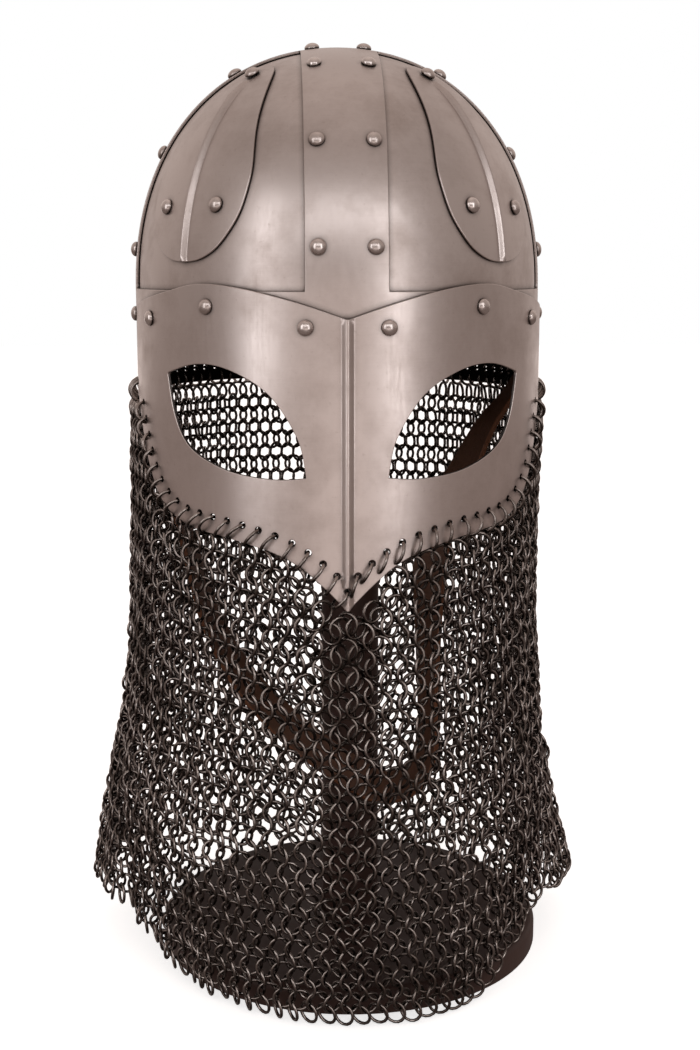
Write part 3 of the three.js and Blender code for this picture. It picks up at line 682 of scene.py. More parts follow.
def steel_material(name, group, steel, tarnish, stain, gloss, brushing, waviness, underside_shade):
    """Steel with painted shade in its corners and, where a share for faces that look down is given, on those
    faces.
    """
    material, tree, shader = new_material(name)
    # painted shade: occlusion darkens the colour in corners
    corner = add_node(tree, "ShaderNodeAmbientOcclusion", {"Distance": CORNER_SHADE_REACH})
    corner.samples = 6
    lit_share = corner.outputs["AO"]
    # painted shade: faces that look down are darker, as if lit from above
    if underside_shade:
        normal = tree.nodes.new("ShaderNodeTexCoord").outputs["Normal"]
        upward = add_node(tree, "ShaderNodeSeparateXYZ", {"Vector": normal}).outputs["Z"]
        lit_from_above = span(tree, upward, LOOKS_DOWN, LOOKS_UP, underside_shade, TOP_LIT)
        lit_share = sums(tree, "MULTIPLY", lit_share, lit_from_above)
    wear_and_shade = tree.nodes.new("ShaderNodeGroup")
    wear_and_shade.node_tree = group
    set_inputs(tree, wear_and_shade, {"Steel": steel, "Tarnish": tarnish, "Stain": stain, "Gloss": gloss,
                            "Brushing": brushing, "Open": lit_share})
    set_inputs(tree, shader, {"Base Color": wear_and_shade.outputs["Color"], "Roughness": wear_and_shade.outputs["Roughness"],
                              "Metallic": 1.0})
    add_bump(tree, shader, wear_and_shade.outputs["Height"], waviness, 0.001)
    return material


def leather_material(name, colour, pale):
    """Oiled leather with a fine pebbled grain."""
    material, tree, shader = new_material(name)
    where = stretched(tree, PLAIN)
    cells = add_node(tree, "ShaderNodeTexVoronoi", {"Vector": where, "Scale": 900.0})
    cloud = noise(tree, where, 60.0)
    set_inputs(tree, shader, {
        "Base Color": blend_colour(tree, cloud, shaded(colour, 1 - pale), tuple(colour)),
        "Roughness": span(tree, cloud, 0.3, 0.7, 0.5, 0.7),
    })
    add_bump(tree, shader, sums(tree, "ADD", cells.outputs["Distance"], cloud), 0.35, 0.0004)
    return material


def stained_material(name, colour):
    """Dark stained wood under a thin satin coat: faint grain and a dusty bloom."""
    material, tree, shader = new_material(name)
    grain = noise(tree, stretched(tree, (1, 1, 0.25)), 160.0, detail=6.0, rough=0.65)
    dust = noise(tree, stretched(tree, PLAIN), 30.0)
    set_inputs(tree, shader, {
        "Base Color": blend_colour(tree, grain, tuple(colour), shaded(colour, 1.7)),
        "Roughness": span(tree, dust, 0.3, 0.7, 0.42, 0.58),
        "Specular IOR Level": 0.25,
    })
    add_bump(tree, shader, grain, 0.12, 0.0004)
    return material


STEELS = [  # name, colour, colour of the stain, then stain, gloss, brushing, waviness, and the lit share of faces that look down, for painted shade there
    ("sheet_steel", "steel", "tarnish", 0.46, 0.33, 0.8, 0.17, None),
    ("plate_steel", "steel", "tarnish", 0.56, 0.35, 0.8, 0.24, None),
    # rivets and mail: painted shade darkens their lower sides, as if lit from above
    ("rivet_steel", "rivet", "tarnish", 0.5, 0.24, 0.0, 0.06, 0.74),
    # inside faces: near-black painted shade of the helmet's dark interior
    ("inner_steel", "inner", "inner", 0.5, 0.55, 0.0, 0.1, None),
    ("mail_steel", "mail", "mail_rust", 0.9, 0.17, 0.0, 0.05, 0.42),
]


def materials():
    """All finishes by name, made once."""
    colours = bpy.context.scene.helmet_colours
    if "sheet_steel" not in bpy.data.materials:
        group = worn_and_shaded_steel_group()
        for name, steel, stain, *finish in STEELS:
            tones = [tuple(getattr(colours, label)) for label in (steel, stain)]
            steel_material(name, group, *tones, *finish)
        leather_material("strap_leather", colours.leather, 0.45)
        leather_material("strap_edge", colours.leather_edge, 0.3)
        stained_material("stand_wood", colours.stand)
    return bpy.data.materials


# Shapes of the pieces


LEAF_OUTLINE = [  # (share of the length, share of half the width)
    (0, 0), (0.01, 0.3), (0.05, 0.59), (0.12, 0.81), (0.2, 0.95), (0.3, 1), (0.4, 0.97), (0.57, 0.79),
    (0.78, 0.56), (0.92, 0.35), (0.98, 0.17), (1, 0),
]
LEAF_RIB_END, LEAF_RIB_FADE = 0.86, 0.12  # shares of the length: where the rib ends, and how long it fades
LEAF_TIP_LIFT = 0.3  # the rivet at the tip sits this share of the rib's rise higher
LEAF_RIVETS = [(0.225, 0.5), (0.225, -0.5), (0.9, 0)]  # (share of the length, share of the rivet span)
LOWER_EDGE = [(0, -1), (0.08, -0.88), (0.17, -0.772), (0.27, -0.704), (0.43, -0.652), (0.64, -0.607),
              (0.79, -0.5), (0.9, -0.3), (1, 0)]  # (share of the side angle, share of the nose drop)
# (share of the side angle, share of the way from the top at the nose to the top of the arch)
UPPER_EDGE = [(0, 0), (0.18, 0.5), (0.37, 0.87), (0.55, 1), (0.72, 0.77), (0.9, 0.5), (1, 0.3)]
# (share of the eye's length from its inner corner, share of its height)
EYE_UPPER = [(0, 0.02), (0.05, 0.37), (0.22, 0.756), (0.47, 0.96), (0.72, 1), (1, 0.902)]
EYE_LOWER = [(1, 0.902), (0.93, 0.524), (0.79, 0.242), (0.5, 0.06), (0.2, 0), (0, 0.02)]
BAND_RIVETS = [0.165, 0.565, 0.885]  # shares of the crown's rise
CROSSING_RIVET = 0.985  # share of the crown's rise
MASK_RIVETS = [(0.142, 0.0378), (0.515, 0.0464), (0.847, 0.0402)]  # (share of the side angle, above the rim)
EDGE_STEPS = 160
NOSE_HOLE = 1.2  # the hole at the nose, from the tip, in insets of the other holes


def mask_edges(bowl, mask):
    """The mask's lower and upper edge on the right-hand side, as (distance from the nose line, level)."""
    lower = [(a * mask.angle, b * mask.nose) for a, b in LOWER_EDGE]
    upper = [(a * mask.angle, mix(mask.valley, mask.arch, b)) for a, b in UPPER_EDGE]
    edges = [smooth_line(rows, EDGE_STEPS) for rows in (lower, upper)]
    for line in edges:
        line[:, 0] = bowl.arc(line[:, 0])
    return edges


def mask_holes(sizes, lower):
    """Hanging holes along the mask's lower edge, as (distance from the nose line, level)."""
    coarse = lower[:: EDGE_STEPS // 16]
    along = unit(np.diff(coarse, axis=0))
    inset = coarse[1:] + sizes.hole_inset * np.stack([-along[:, 1], along[:, 0]], axis=1)
    nose = np.array([0, sizes.hole_inset * NOSE_HOLE + lower[0, 1]])
    path = smooth_line(np.vstack([nose, inset[inset[:, 0] > sizes.hole_pitch / 2]]), 400)
    places = np.arange(1, int(walked(path)[-1] / sizes.hole_pitch) + 1) * sizes.hole_pitch
    right = at_places(path, places)
    return np.vstack([nose[None], right, right * [-1, 1]])


def rim_holes(bowl, sizes, mask):
    """Hanging holes round the rim behind the mask, as (distance from the nose line, level)."""
    start = bowl.arc(mask.angle) + sizes.hole_pitch
    n = int(round((bowl.round - 2 * start) / sizes.hole_pitch))
    arcs = mix(start, bowl.round - start, np.arange(n + 1) / n)
    arcs = np.where(arcs > bowl.round / 2, arcs - bowl.round, arcs)
    return np.stack([arcs, np.full(n + 1, sizes.hole_inset)], axis=1)


def quarter_outline(bowl, beside_crest, beside_side, top, foot, steps):
    """A closed outline on the front right quarter of the bowl, between two falls, at distances from its
    two middle planes."""
    falls = np.linspace(top, foot, steps)
    plans = np.interp(falls, bowl.fall_at, bowl.plan_at)
    by_crest = np.arcsin(np.clip(beside_crest / (bowl.half[0] * plans), -1, 1))
    by_side = np.arccos(np.clip(beside_side / (bowl.half[1] * plans), -1, 1))
    between = np.linspace(by_crest[-1], by_side[-1], steps)[1:-1]
    angle = np.r_[by_crest, between, by_side[::-1][:-1]]
    fall = np.r_[falls, np.full(len(between), foot), falls[::-1][:-1]]
    return bowl.flat(angle, fall)


def beside_middle(bowl, share, sideways, across):
    """A place on the dome at a share of the crown's rise, beside one of the bowl's middle planes."""
    plan = (1 - share**bowl.power) ** (1 / bowl.power)
    k = 0 if across == "x" else 1
    other = bowl.half[1 - k] * math.sqrt(plan**2 - (sideways / bowl.half[k]) ** 2)
    place = [sideways, other] if k == 0 else [other, sideways]
    return np.array([*place, bowl.brow + share * bowl.crown])


def leaf_middle(leaf, rightward, backward):
    """Angle of a leaf's centre line."""
    return rightward * (leaf.angle if backward < 0 else math.pi - leaf.angle)


def leaf_places(bowl, leaf):
    """A function from a quarter's angle and (sideways, share of the length) to the bowl's flat map."""
    reach = np.hypot(bowl.half[0] * math.sin(leaf.angle), bowl.half[1] * math.cos(leaf.angle))
    down = bowl.down_the_dome(reach)
    start = np.interp(bowl.fall_of_level(leaf.foot), bowl.fall_at, down)

    def place(middle, sideways, share):
        fall = np.interp(start - np.asarray(share) * leaf.long, down, bowl.fall_at)
        return bowl.flat(middle + np.asarray(sideways) / bowl.per_turn(middle, fall), fall)

    return place


def ridge(distance, width, rise):
    """A pressed rib: steep sides and a rounded top."""
    share = np.clip(np.abs(distance) / (width / 2), 0, 1)
    return rise * (1 - share**1.6) ** 1.5


# Operators


class HelmetOperator:
    """What the piece operators share."""

    bl_options = {"REGISTER", "UNDO"}

    def need(self, ok, words):
        if not ok:
            raise RuntimeError(f"{self.bl_idname}: {words}")


class HELMET_OT_band_frame(HelmetOperator, bpy.types.Operator):
    """Builds the welded frame of brow, crest and side bands"""

    bl_idname = "helmet.band_frame"
    bl_label = "Band frame"

    OUTLINE_STEP, WINDOW_STEP, NET_STEP = 0.003, 0.0025, 0.0042  # between the mesh's points

    def execute(self, context):
        sizes, mask = context.scene.helmet_bowl, context.scene.helmet_mask
        bowl = Bowl(sizes)
        turns = np.linspace(0, 2 * math.pi, 400, endpoint=False)
        start = math.acos(sizes.cut_back / bowl.half[1])
        rim = turns[(turns > start) & (turns < 2 * math.pi - start)]
        cut = np.linspace(-start, start, 160)
        outer = np.vstack([bowl.flat(rim, bowl.bottom), bowl.flat(cut, bowl.bottom - sizes.cut_height)])
        loops = [resample(outer, self.OUTLINE_STEP, True)]
        window = self.window(bowl, sizes)
        for rightward, backward in QUARTERS:
            loops.append(resample(window * [rightward, -backward], self.WINDOW_STEP, True))
        for hole in rim_holes(bowl, sizes, mask):
            ring = circle(hole, sizes.hole / 2)
            loops.append(bowl.flat(bowl.angle(ring[:, 0]), bowl.bottom - ring[:, 1]))
        sheet = Sheet(bowl, loops, bowl.lattice(self.NET_STEP), -sizes.frame, 0.0, sizes.edge)
        piece = sheet.build("frame_sheet", "sheet_steel", ["band_frame"])
        self.need(len(piece.data.polygons) > 1000, "the frame came out empty")
        return {"FINISHED"}

    def window(self, bowl, sizes):
        """The frame's front right window, between the crest band, a side band and the brow band."""
        x, y = sizes.crest / 2, sizes.side / 2
        top = np.interp(np.hypot(x / bowl.half[0], y / bowl.half[1]), bowl.plan_at, bowl.fall_at)
        return quarter_outline(bowl, x, y, top, bowl.dome, 60)


class HELMET_OT_skull_plates(HelmetOperator, bpy.types.Operator):
    """Builds the four skull plates behind the frame's windows"""

    bl_idname = "helmet.skull_plates"
    bl_label = "Skull plates"

    OUTLINE_STEP, NET_STEP = 0.004, 0.0045  # between the mesh's points
    TOP = 1.5  # a plate's top corner lies this many clearances from the crown

    def execute(self, context):
        sizes = context.scene.helmet_bowl
        bowl = Bowl(sizes)
        high = -sizes.frame - sizes.gap
        clear = sizes.parting / 2
        top = np.interp(clear * self.TOP / bowl.half.mean(), bowl.plan_at, bowl.fall_at)
        outline = quarter_outline(bowl, clear, clear, top, bowl.dome + sizes.lap, 90)
        seeds = bowl.lattice(self.NET_STEP)
        for rightward, backward in QUARTERS:
            loop = resample(outline * [rightward, -backward], self.OUTLINE_STEP, True)
            sheet = Sheet(bowl, [loop], seeds, high - sizes.plate, high, sizes.edge)
            place = quarter_name(rightward, backward)
            sheet.build(f"plate_{place}", "plate_steel", [f"skull_plate_{place}"])
        return {"FINISHED"}


class HELMET_OT_leaves(HelmetOperator, bpy.types.Operator):
    """Builds the four leaf plates with their pressed ribs"""

    bl_idname = "helmet.leaves"
    bl_label = "Leaf plates"

    OUTLINE_STEP, NET_STEP = 0.002, 0.0042  # between the mesh's points
    RIB_HALF = 0.0034  # half the width of the finer net under the rib
    RESTS_AT = 0.3  # a leaf starts this share of the sheets' gap below the frame's inside

    def execute(self, context):
        sizes, leaf = context.scene.helmet_bowl, context.scene.helmet_leaf
        bowl = Bowl(sizes)
        place = leaf_places(bowl, leaf)
        low = -sizes.frame - self.RESTS_AT * sizes.gap
        side = smooth_line([(half * leaf.width / 2, share) for share, half in LEAF_OUTLINE], 160)
        side[:, 0] = np.maximum(side[:, 0], 0)
        outline = np.vstack([side, side[-2:0:-1] * [-1, 1]])
        outline = resample(outline * [1, leaf.long], self.OUTLINE_STEP, True) / [1, leaf.long]
        across = np.arange(-9, 10) * self.NET_STEP
        across = np.r_[across[across != 0], np.linspace(-self.RIB_HALF, self.RIB_HALF, 13)]
        grid = np.stack(np.meshgrid(across, np.linspace(0.004, 0.996, 46)), axis=-1).reshape(-1, 2)
        shares = np.linspace(0, 1, 400)
        for rightward, backward in QUARTERS:
            middle = leaf_middle(leaf, rightward, backward)
            line = place(middle, np.zeros(len(shares)), shares)

            def relief(flat):
                gap = np.linalg.norm(flat[:, None, :] - line[None, ::8], axis=2)
                share = shares[::8][gap.argmin(1)]
                angle = np.arctan2(flat[:, 0], -flat[:, 1]) - middle
                angle = (angle + math.pi) % (2 * math.pi) - math.pi
                sideways = angle * bowl.per_turn(middle, np.hypot(flat[:, 0], flat[:, 1]))
                fade = np.clip((LEAF_RIB_END - share) / LEAF_RIB_FADE, 0, 1) ** 0.5
                return ridge(sideways, leaf.rib, leaf.rib_rise) * fade

            loop = place(middle, outline[:, 0], outline[:, 1])
            seeds = place(middle, grid[:, 0], grid[:, 1])
            sheet = Sheet(bowl, [loop], seeds, low, low + leaf.sheet, sizes.edge, relief)
            name = quarter_name(rightward, backward)
            sheet.build(f"leaf_sheet_{name}", "sheet_steel", [f"leaf_{name}"])
        return {"FINISHED"}


class HELMET_OT_mask(HelmetOperator, bpy.types.Operator):
    """Builds the mask with its eye holes, nose rib and hanging holes"""

    bl_idname = "helmet.mask"
    bl_label = "Mask"

    OUTLINE_STEP, NET_STEP = 0.0015, 0.0035  # between the mesh's points
    RIB_HALF, RIB_FINE = 0.0045, 0.0036  # half the widths of the finer nets under the nose rib
    NET_START = 0.0065  # from the nose line
    BETWEEN = 0.0017  # the finest net lies about half way between the rows of the others

    def execute(self, context):
        sizes, mask = context.scene.helmet_bowl, context.scene.helmet_mask
        bowl = Bowl(sizes)
        lower, upper = mask_edges(bowl, mask)
        flip = np.array([-1, 1])
        outer = np.vstack([lower[::-1] * flip, lower[1:], upper[::-1], upper[1:] * flip])
        loops = [resample(outer, self.OUTLINE_STEP, True)]
        eye = np.vstack([smooth_line(EYE_UPPER, 90)[:-1], smooth_line(EYE_LOWER, 90)[:-1]])
        eye = eye * [mask.eye_length, mask.eye_height] + [mask.eye_inset, -mask.eye_drop]
        loops += [resample(eye * [side, 1], self.OUTLINE_STEP, True) for side in (-1, 1)]
        loops += [circle(hole, sizes.hole / 2) for hole in mask_holes(sizes, lower)]
        xs = np.arange(self.NET_START, lower[-1, 0], self.NET_STEP)
        xs = np.r_[-xs[::-1], np.linspace(-self.RIB_HALF, self.RIB_HALF, 19), xs]
        ys = np.arange(-mask.nose, mask.arch, self.NET_STEP)
        coarse = np.stack(np.meshgrid(xs, ys), axis=-1).reshape(-1, 2)
        between = np.meshgrid(np.linspace(-self.RIB_FINE, self.RIB_FINE, 13), ys + self.BETWEEN)
        fine = np.stack(between, axis=-1).reshape(-1, 2)
        sheet = Sheet(
            Wall(bowl), loops, np.vstack([coarse, fine]), sizes.gap, sizes.gap + mask.sheet, sizes.edge,
            lambda flat: ridge(flat[:, 0], mask.rib, mask.rib_rise),
        )
        sheet.build("mask_sheet", "sheet_steel", ["mask_plate"])
        return {"FINISHED"}


class HELMET_OT_rivets(HelmetOperator, bpy.types.Operator):
    """Sets all the domed rivet heads"""

    bl_idname = "helmet.rivets"
    bl_label = "Rivets"

    SEGMENTS = 20
    NODES = 44  # the leaves' own rivets come on top and belong to the leaves
    ROOT = 0.0004  # a head reaches this far into its sheet
    ROOT_WIDTH, FOOT_WIDTH = 0.86, 0.97  # a head's width down there and at the sheet, as shares
    LIP = 0.12  # upright lip of a head, as a share of its rise
    UNEVEN = (0.03, 0.03, 0.06)  # spread of a head's two widths and its rise
    TILT = 0.03  # spread of its slope

    def execute(self, context):
        scene = context.scene
        sizes, mask = scene.helmet_bowl, scene.helmet_mask
        rivet, leaf = scene.helmet_rivet, scene.helmet_leaf
        bowl = Bowl(sizes)
        on_leaf = leaf_places(bowl, leaf)
        half = rivet.span / 2
        brow = math.pi / 2 - rivet.span / sizes.depth
        level_fall = bowl.fall_of_level(rivet.level)
        spots, nodes = [], []

        def add_head(name, flat, lift=0.0):
            spots.append((flat, lift))
            nodes.append(name)

        def on_frame(name, local):
            add_head(name, bowl.map(local[None] + bowl.origin)[0])

        for rightward, backward in QUARTERS:
            place = quarter_name(rightward, backward)
            mirror = np.array([rightward, backward, 1])
            for i, share in enumerate(BAND_RIVETS):
                on_frame(f"crest_rivet_{place}_{i + 1}", beside_middle(bowl, share, half, "x") * mirror)
                on_frame(f"side_rivet_{place}_{i + 1}", beside_middle(bowl, share, half, "y") * mirror)
            on_frame(f"crossing_rivet_{place}", beside_middle(bowl, CROSSING_RIVET, half, "x") * mirror)
            angle = rightward * (brow if backward < 0 else math.pi - brow)
            add_head(f"brow_rivet_{place}", bowl.flat(angle, level_fall))
            for i, (share, level) in enumerate(MASK_RIVETS):
                angle = rightward * share * mask.angle
                name = f"rivet_{SIDES[rightward]}_{i + 1}"
                if backward < 0:
                    flat = bowl.flat(angle, bowl.fall_of_level(level))
                    add_head(f"mask_{name}", flat, sizes.gap + mask.sheet)
                else:
                    add_head(f"nape_{name}", bowl.flat(math.pi - angle, level_fall))
            middle = leaf_middle(leaf, rightward, backward)
            for share, sideways in LEAF_RIVETS:
                tip = leaf.rib_rise * LEAF_TIP_LIFT if sideways == 0 else 0.0
                flat = on_leaf(middle, sideways * rivet.leaf_span, share)
                spots.append((flat, -sizes.frame + leaf.sheet + tip))
        points, faces = self.heads(bowl, rivet, spots)
        self.need(len(set(nodes)) == len(nodes) == self.NODES, "a rivet is missing")
        add_piece("rivet_heads", points, faces, ["rivet_steel"], nodes)
        return {"FINISHED"}

    def heads(self, bowl, rivet, spots):
        """Hand-set heads: each dome is a little off round, off height and tilted."""
        random = np.random.default_rng(11)
        radius, rise = rivet.width / 2, rivet.rise
        profile = [(radius * self.ROOT_WIDTH, -self.ROOT), (radius * self.FOOT_WIDTH, 0.0)]
        for lean in np.radians([0, 12, 30, 50, 68, 82, 90]):
            height = rise * (self.LIP + (1 - self.LIP) * math.sin(lean))
            profile.append((radius * math.cos(lean), height))
        shape, links = lathe(profile, self.SEGMENTS)
        points, faces = [], []
        for k, (flat, lift) in enumerate(spots):
            q = np.asarray(flat, float)[None]
            normal = plain_normals(bowl, q)[0]
            centre = bowl.place(q)[0] + normal * lift
            head = shape * (1 + random.normal(0, self.UNEVEN))
            tilt = Vector(normal + random.normal(0, self.TILT, 3)).normalized()
            turned = np.array(Vector((0, 0, 1)).rotation_difference(tilt).to_matrix())
            points.append(head @ turned.T + centre)
            faces += [tuple(k * len(shape) + i for i in face) for face in links]
        return np.vstack(points), faces


class MailSheet:
    """The mail's middle surface and the lattice of its rings."""

    HEM = np.array([  # turn, level, wrap, flare, each as a share
        (0, 0, 1.3, 0), (0.08, 0, 1.3, 0), (0.15, 0, 0.9, 0), (0.28, 0.1, 0.4, 0), (0.36, 0.45, 0.45, 0),
        (0.43, 0.9, 0.5, 0.2), (0.5, 1, 0.6, 0.75), (0.57, 1, 0.9, 1), (0.7, 0.9, 1.2, 0.7),
        (0.85, 0.55, 1.2, 0.2), (1, 0, 1, 0),
    ], float)
    # how the hem is lifted on to the foot: degrees, shares of the lift
    LIFT = ([34, 48, 72, 86, 105, 120, 165, 178], [0, 1, 1, 0, 0, -0.75, -0.75, 0])
    # how the lean grows: shares of the way down, shares of the lean
    ASIDE_LEFT = ([0, 0.42, 0.5, 0.6, 0.7, 1], [0, 0, 0.15, 0.5, 0.95, 1])
    ASIDE_RIGHT = ([0, 0.3, 0.42, 0.6, 0.7, 0.79, 0.88, 1], [0, 0.45, 0.5, 0.3, 0.1, 0.5, 0.7, 0.7])
    FLARE_START, FLARE_POWER = 0.68, 0.8
    FOLDS = 26  # waves all the way round
    ZONES = (0, 35, 80, 115, 145, 180)  # degrees from the front: front, flank and back
    FRONT_ROWS = 4  # rows above this one stop at the mask's steep side edges
    BELOW_RIM = 0.001  # from the rim to the first row
    OVER_EDGE = 0.0012  # a ring may reach this far over the edge that it hangs below
    SLANTED = 0.42  # half the width of a leaning ring, as a share of its diameter
    LEVEL_STEP = 0.002

    def __init__(self, scene):
        self.bowl = Bowl(scene.helmet_bowl)
        self.sizes, self.mail = scene.helmet_bowl, scene.helmet_mail
        self.base = scene.helmet_stand.base
        self.edge, _ = mask_edges(self.bowl, scene.helmet_mask)
        self.side = scene.helmet_mask.angle

    def edge_level(self, angle):
        """The mask's lower edge, or the rim behind it, above the rim."""
        arc = self.bowl.arc(np.abs(angle))
        return np.where(np.abs(angle) < self.side, np.interp(arc, self.edge[:, 0], self.edge[:, 1]), 0.0)

    def hem(self, angle):
        """The hem's level, counted from the rim, and its distance from the stand's axis."""
        turn = np.abs(angle) / math.pi
        level, wrap, flare = (np.interp(turn, self.HEM[:, 0], self.HEM[:, k]) for k in (1, 2, 3))
        end = np.where(turn < 0.5, self.mail.front_hem, self.mail.back_hem)
        radius = self.base / 2 + wrap * self.mail.wrap + flare * self.mail.flare
        lifted = np.interp(np.degrees(angle), *self.LIFT) * self.mail.on_foot
        return mix(end, self.mail.side_hem, level) + lifted - self.sizes.rim, radius

    def at(self, angle, level):
        """Places on the mail: it hangs on the bowl, then drifts out to the hem."""
        angle = (np.asarray(angle) + math.pi) % (2 * math.pi) - math.pi
        hem, radius = self.hem(angle)
        top = self.edge_level(angle) - self.sizes.gap
        share = np.clip((top - level) / (top - hem), 0, 1)
        fall = np.minimum(1, share / self.FLARE_START)
        flank = np.abs(np.sin(angle)) * self.mail.fold * fall * np.sin(self.FOLDS * angle + 2 * share)
        bulge = self.mail.standoff + self.mail.bulge * fall + flank
        hung = self.bowl.at(angle, self.bowl.bottom - level, bulge)
        radius = radius + flank
        lean = np.where(angle < 0, np.interp(share, *self.ASIDE_LEFT), np.interp(share, *self.ASIDE_RIGHT))
        aside = np.abs(np.sin(angle)) ** 3 * self.mail.lean_left * lean
        hung[..., 0] -= aside
        away = np.stack([np.sin(angle) * radius - aside, -np.cos(angle) * radius, hung[..., 2]], axis=-1)
        drift = np.maximum(0, (share - self.FLARE_START) / (1 - self.FLARE_START)) ** self.FLARE_POWER
        return mix(hung, away, drift[..., None])

    def frames(self, angle, level):
        """Middle, sideways, upward and outward directions at places on the mail."""
        turn, rise = self.bowl.SMALL_TURN, self.LEVEL_STEP
        sideways = unit(self.at(angle + turn, level) - self.at(angle - turn, level))
        up = self.at(angle, level + rise) - self.at(angle, level - rise)
        out = unit(np.cross(sideways, up))
        return self.at(angle, level), sideways, unit(np.cross(out, sideways)), out

    def lattice(self):
        """Angle, level and row of every ring of the mail."""
        ring, half = self.mail.ring, self.bowl.round / 2
        arcs = np.linspace(0, half, 400)
        pitches = [self.mail.front_pitch] * 2 + [self.mail.flank_pitch] * 2 + [self.mail.back_pitch] * 2
        pitch = np.interp(np.degrees(self.bowl.angle(arcs)), self.ZONES, pitches)
        counted = np.r_[0, np.cumsum(np.diff(arcs) / pitch[1:])]
        columns = 2 * int(round(counted[-1]))
        row, column = np.meshgrid(np.arange(self.mail.rows), np.arange(columns), indexing="ij")
        row, column = row.ravel(), column.ravel()
        place = (column + 0.5 * (row % 2)) / columns * 2  # every other row is half a ring along
        place = np.where(place > 1, place - 2, place)
        arc = np.sign(place) * np.interp(np.abs(place) * counted[-1], counted, arcs)
        angle = self.bowl.angle(arc)
        hem = self.hem(angle)[0] + ring / 2
        first = -ring / 2 - self.BELOW_RIM
        step = (first - hem) / (self.mail.rows - 1)
        level = first - row * step
        # under the mask the lower rows draw together, so that they all hang below its edge
        front = first - self.FRONT_ROWS * step
        reach = self.edge_level(angle) - ring / 2
        squeeze = (np.minimum(front, reach) - hem) / (front - hem)
        level = np.where(level <= front + 1e-6, hem + (level - hem) * squeeze, level)
        turns = full_turn(8)
        around = arc[:, None] + self.SLANTED * ring * np.cos(turns)
        heights = level[:, None] + 0.5 * ring * np.sin(turns)
        free = (heights < self.edge_level(self.bowl.angle(around)) + self.OVER_EDGE).all(1)
        return angle[free], level[free], row[free]


def add_rings(name, mail, middles, across, up, around=16, sides=6):
    """A piece of many wire rings, each lying in the plane of its two directions."""
    turns, tube = full_turn(around), full_turn(sides)
    radius, thin = (mail.ring - mail.wire) / 2, mail.wire / 2
    spoke = across[:, None] * np.cos(turns)[:, None] + up[:, None] * np.sin(turns)[:, None]
    axis = np.cross(across, up)[:, None, None]
    normals = spoke[:, :, None] * np.cos(tube)[:, None] + axis * np.sin(tube)[:, None]
    points = middles[:, None, None] + spoke[:, :, None] * radius + normals * thin
    grid = np.arange(around * sides).reshape(around, sides)
    ahead, beside = np.roll(grid, -1, axis=0), np.roll(grid, -1, axis=1)
    quads = np.stack([grid, ahead, np.roll(ahead, -1, axis=1), beside], axis=-1).reshape(-1, 4)
    faces = quads[None] + (np.arange(len(middles)) * around * sides)[:, None, None]
    points, normals, faces = points.reshape(-1, 3), normals.reshape(-1, 3), faces.reshape(-1, 4).tolist()
    return add_piece(name, points, faces, ["mail_steel"], ["aventail"], normals)


class HELMET_OT_mail(HelmetOperator, bpy.types.Operator):
    """Links the rings of the aventail, row by row, in four pieces"""

    bl_idname = "helmet.mail"
    bl_label = "Mail aventail"

    LOOSE_TURN = math.radians(5)  # spread of each ring's lean and nod; half of it at the back
    LOOSE_PLACE = 0.0002  # spread of its place

    def execute(self, context):
        mail = context.scene.helmet_mail
        sheet = MailSheet(context.scene)
        angle, level, row = sheet.lattice()
        random = np.random.default_rng(5)
        middle, sideways, up, out = sheet.frames(angle, level)
        n = len(angle)
        loose = np.interp(np.degrees(np.abs(angle)), sheet.ZONES[3:5], (1, 0.5))
        lean = np.where(row % 2, -mail.lean, mail.lean) + loose * random.normal(0, self.LOOSE_TURN, n)
        nod = loose * random.normal(0, self.LOOSE_TURN, n)
        across = sideways * np.cos(lean)[:, None] + out * np.sin(lean)[:, None]
        upward = up * np.cos(nod)[:, None] + np.cross(across, up) * np.sin(nod)[:, None]
        middle = middle + random.normal(0, self.LOOSE_PLACE, (n, 3))
        middle[:, 2] = np.maximum(middle[:, 2], mail.ring / 2 + mail.front_hem)
        quarter = np.floor(((angle + math.pi) % (2 * math.pi)) / (math.pi / 2)).astype(int)
        for k, name in enumerate(("rear_left", "front_left", "front_right", "rear_right")):
            pick = quarter == k
            self.need(pick.sum() > 100, "a quarter of the mail is empty")
            add_rings(f"mail_{name}", mail, middle[pick], across[pick], upward[pick])
        return {"FINISHED"}


class HELMET_OT_hanging_rings(HelmetOperator, bpy.types.Operator):
    """Hangs the mail: one ring through each hole of the mask and the rim"""

    bl_idname = "helmet.hanging_rings"
    bl_label = "Hanging rings"

    SLANTS = ([-72, -50, -15, 0, 25, 50, 58, 72], [-25, 38, 38, 32, 14, 8, -18, -18])  # turn, slant
    LOOSE_SLANT = 5  # degrees
    LOOSE_SWING = 0.12  # as a slope

    def execute(self, context):
        scene = context.scene
        sizes, mask, mail = scene.helmet_bowl, scene.helmet_mask, scene.helmet_mail
        bowl = Bowl(sizes)
        wall = Wall(bowl)
        random = np.random.default_rng(3)
        lower, _ = mask_edges(bowl, mask)
        front, back = mask_holes(sizes, lower), rim_holes(bowl, sizes, mask)
        holes = np.vstack([front, back])
        lift = np.r_[np.full(len(front), sizes.gap + mask.sheet / 2), np.full(len(back), -sizes.frame / 2)]
        normal = plain_normals(wall, holes)
        hole = wall.place(holes) + normal * lift[:, None]
        upright = np.array([0, 0, 1.0])
        sideways = unit(np.cross(upright, normal))
        slant = np.interp(np.degrees(bowl.angle(holes[:, 0])), *self.SLANTS)
        slant[len(front):] = 0
        slant = np.radians(slant + random.normal(0, self.LOOSE_SLANT, len(holes)))[:, None]
        down = -np.sin(slant) * sideways - upright * np.cos(slant)
        swing = random.normal(0, self.LOOSE_SWING, len(holes))[:, None]
        out = unit(normal + swing * np.cross(normal, down))
        middles = hole + down * ((mail.ring - mail.wire) / 2)
        add_rings("hanging_rings", mail, middles, out, unit(np.cross(np.cross(out, down), out)), 24, 8)
        return {"FINISHED"}


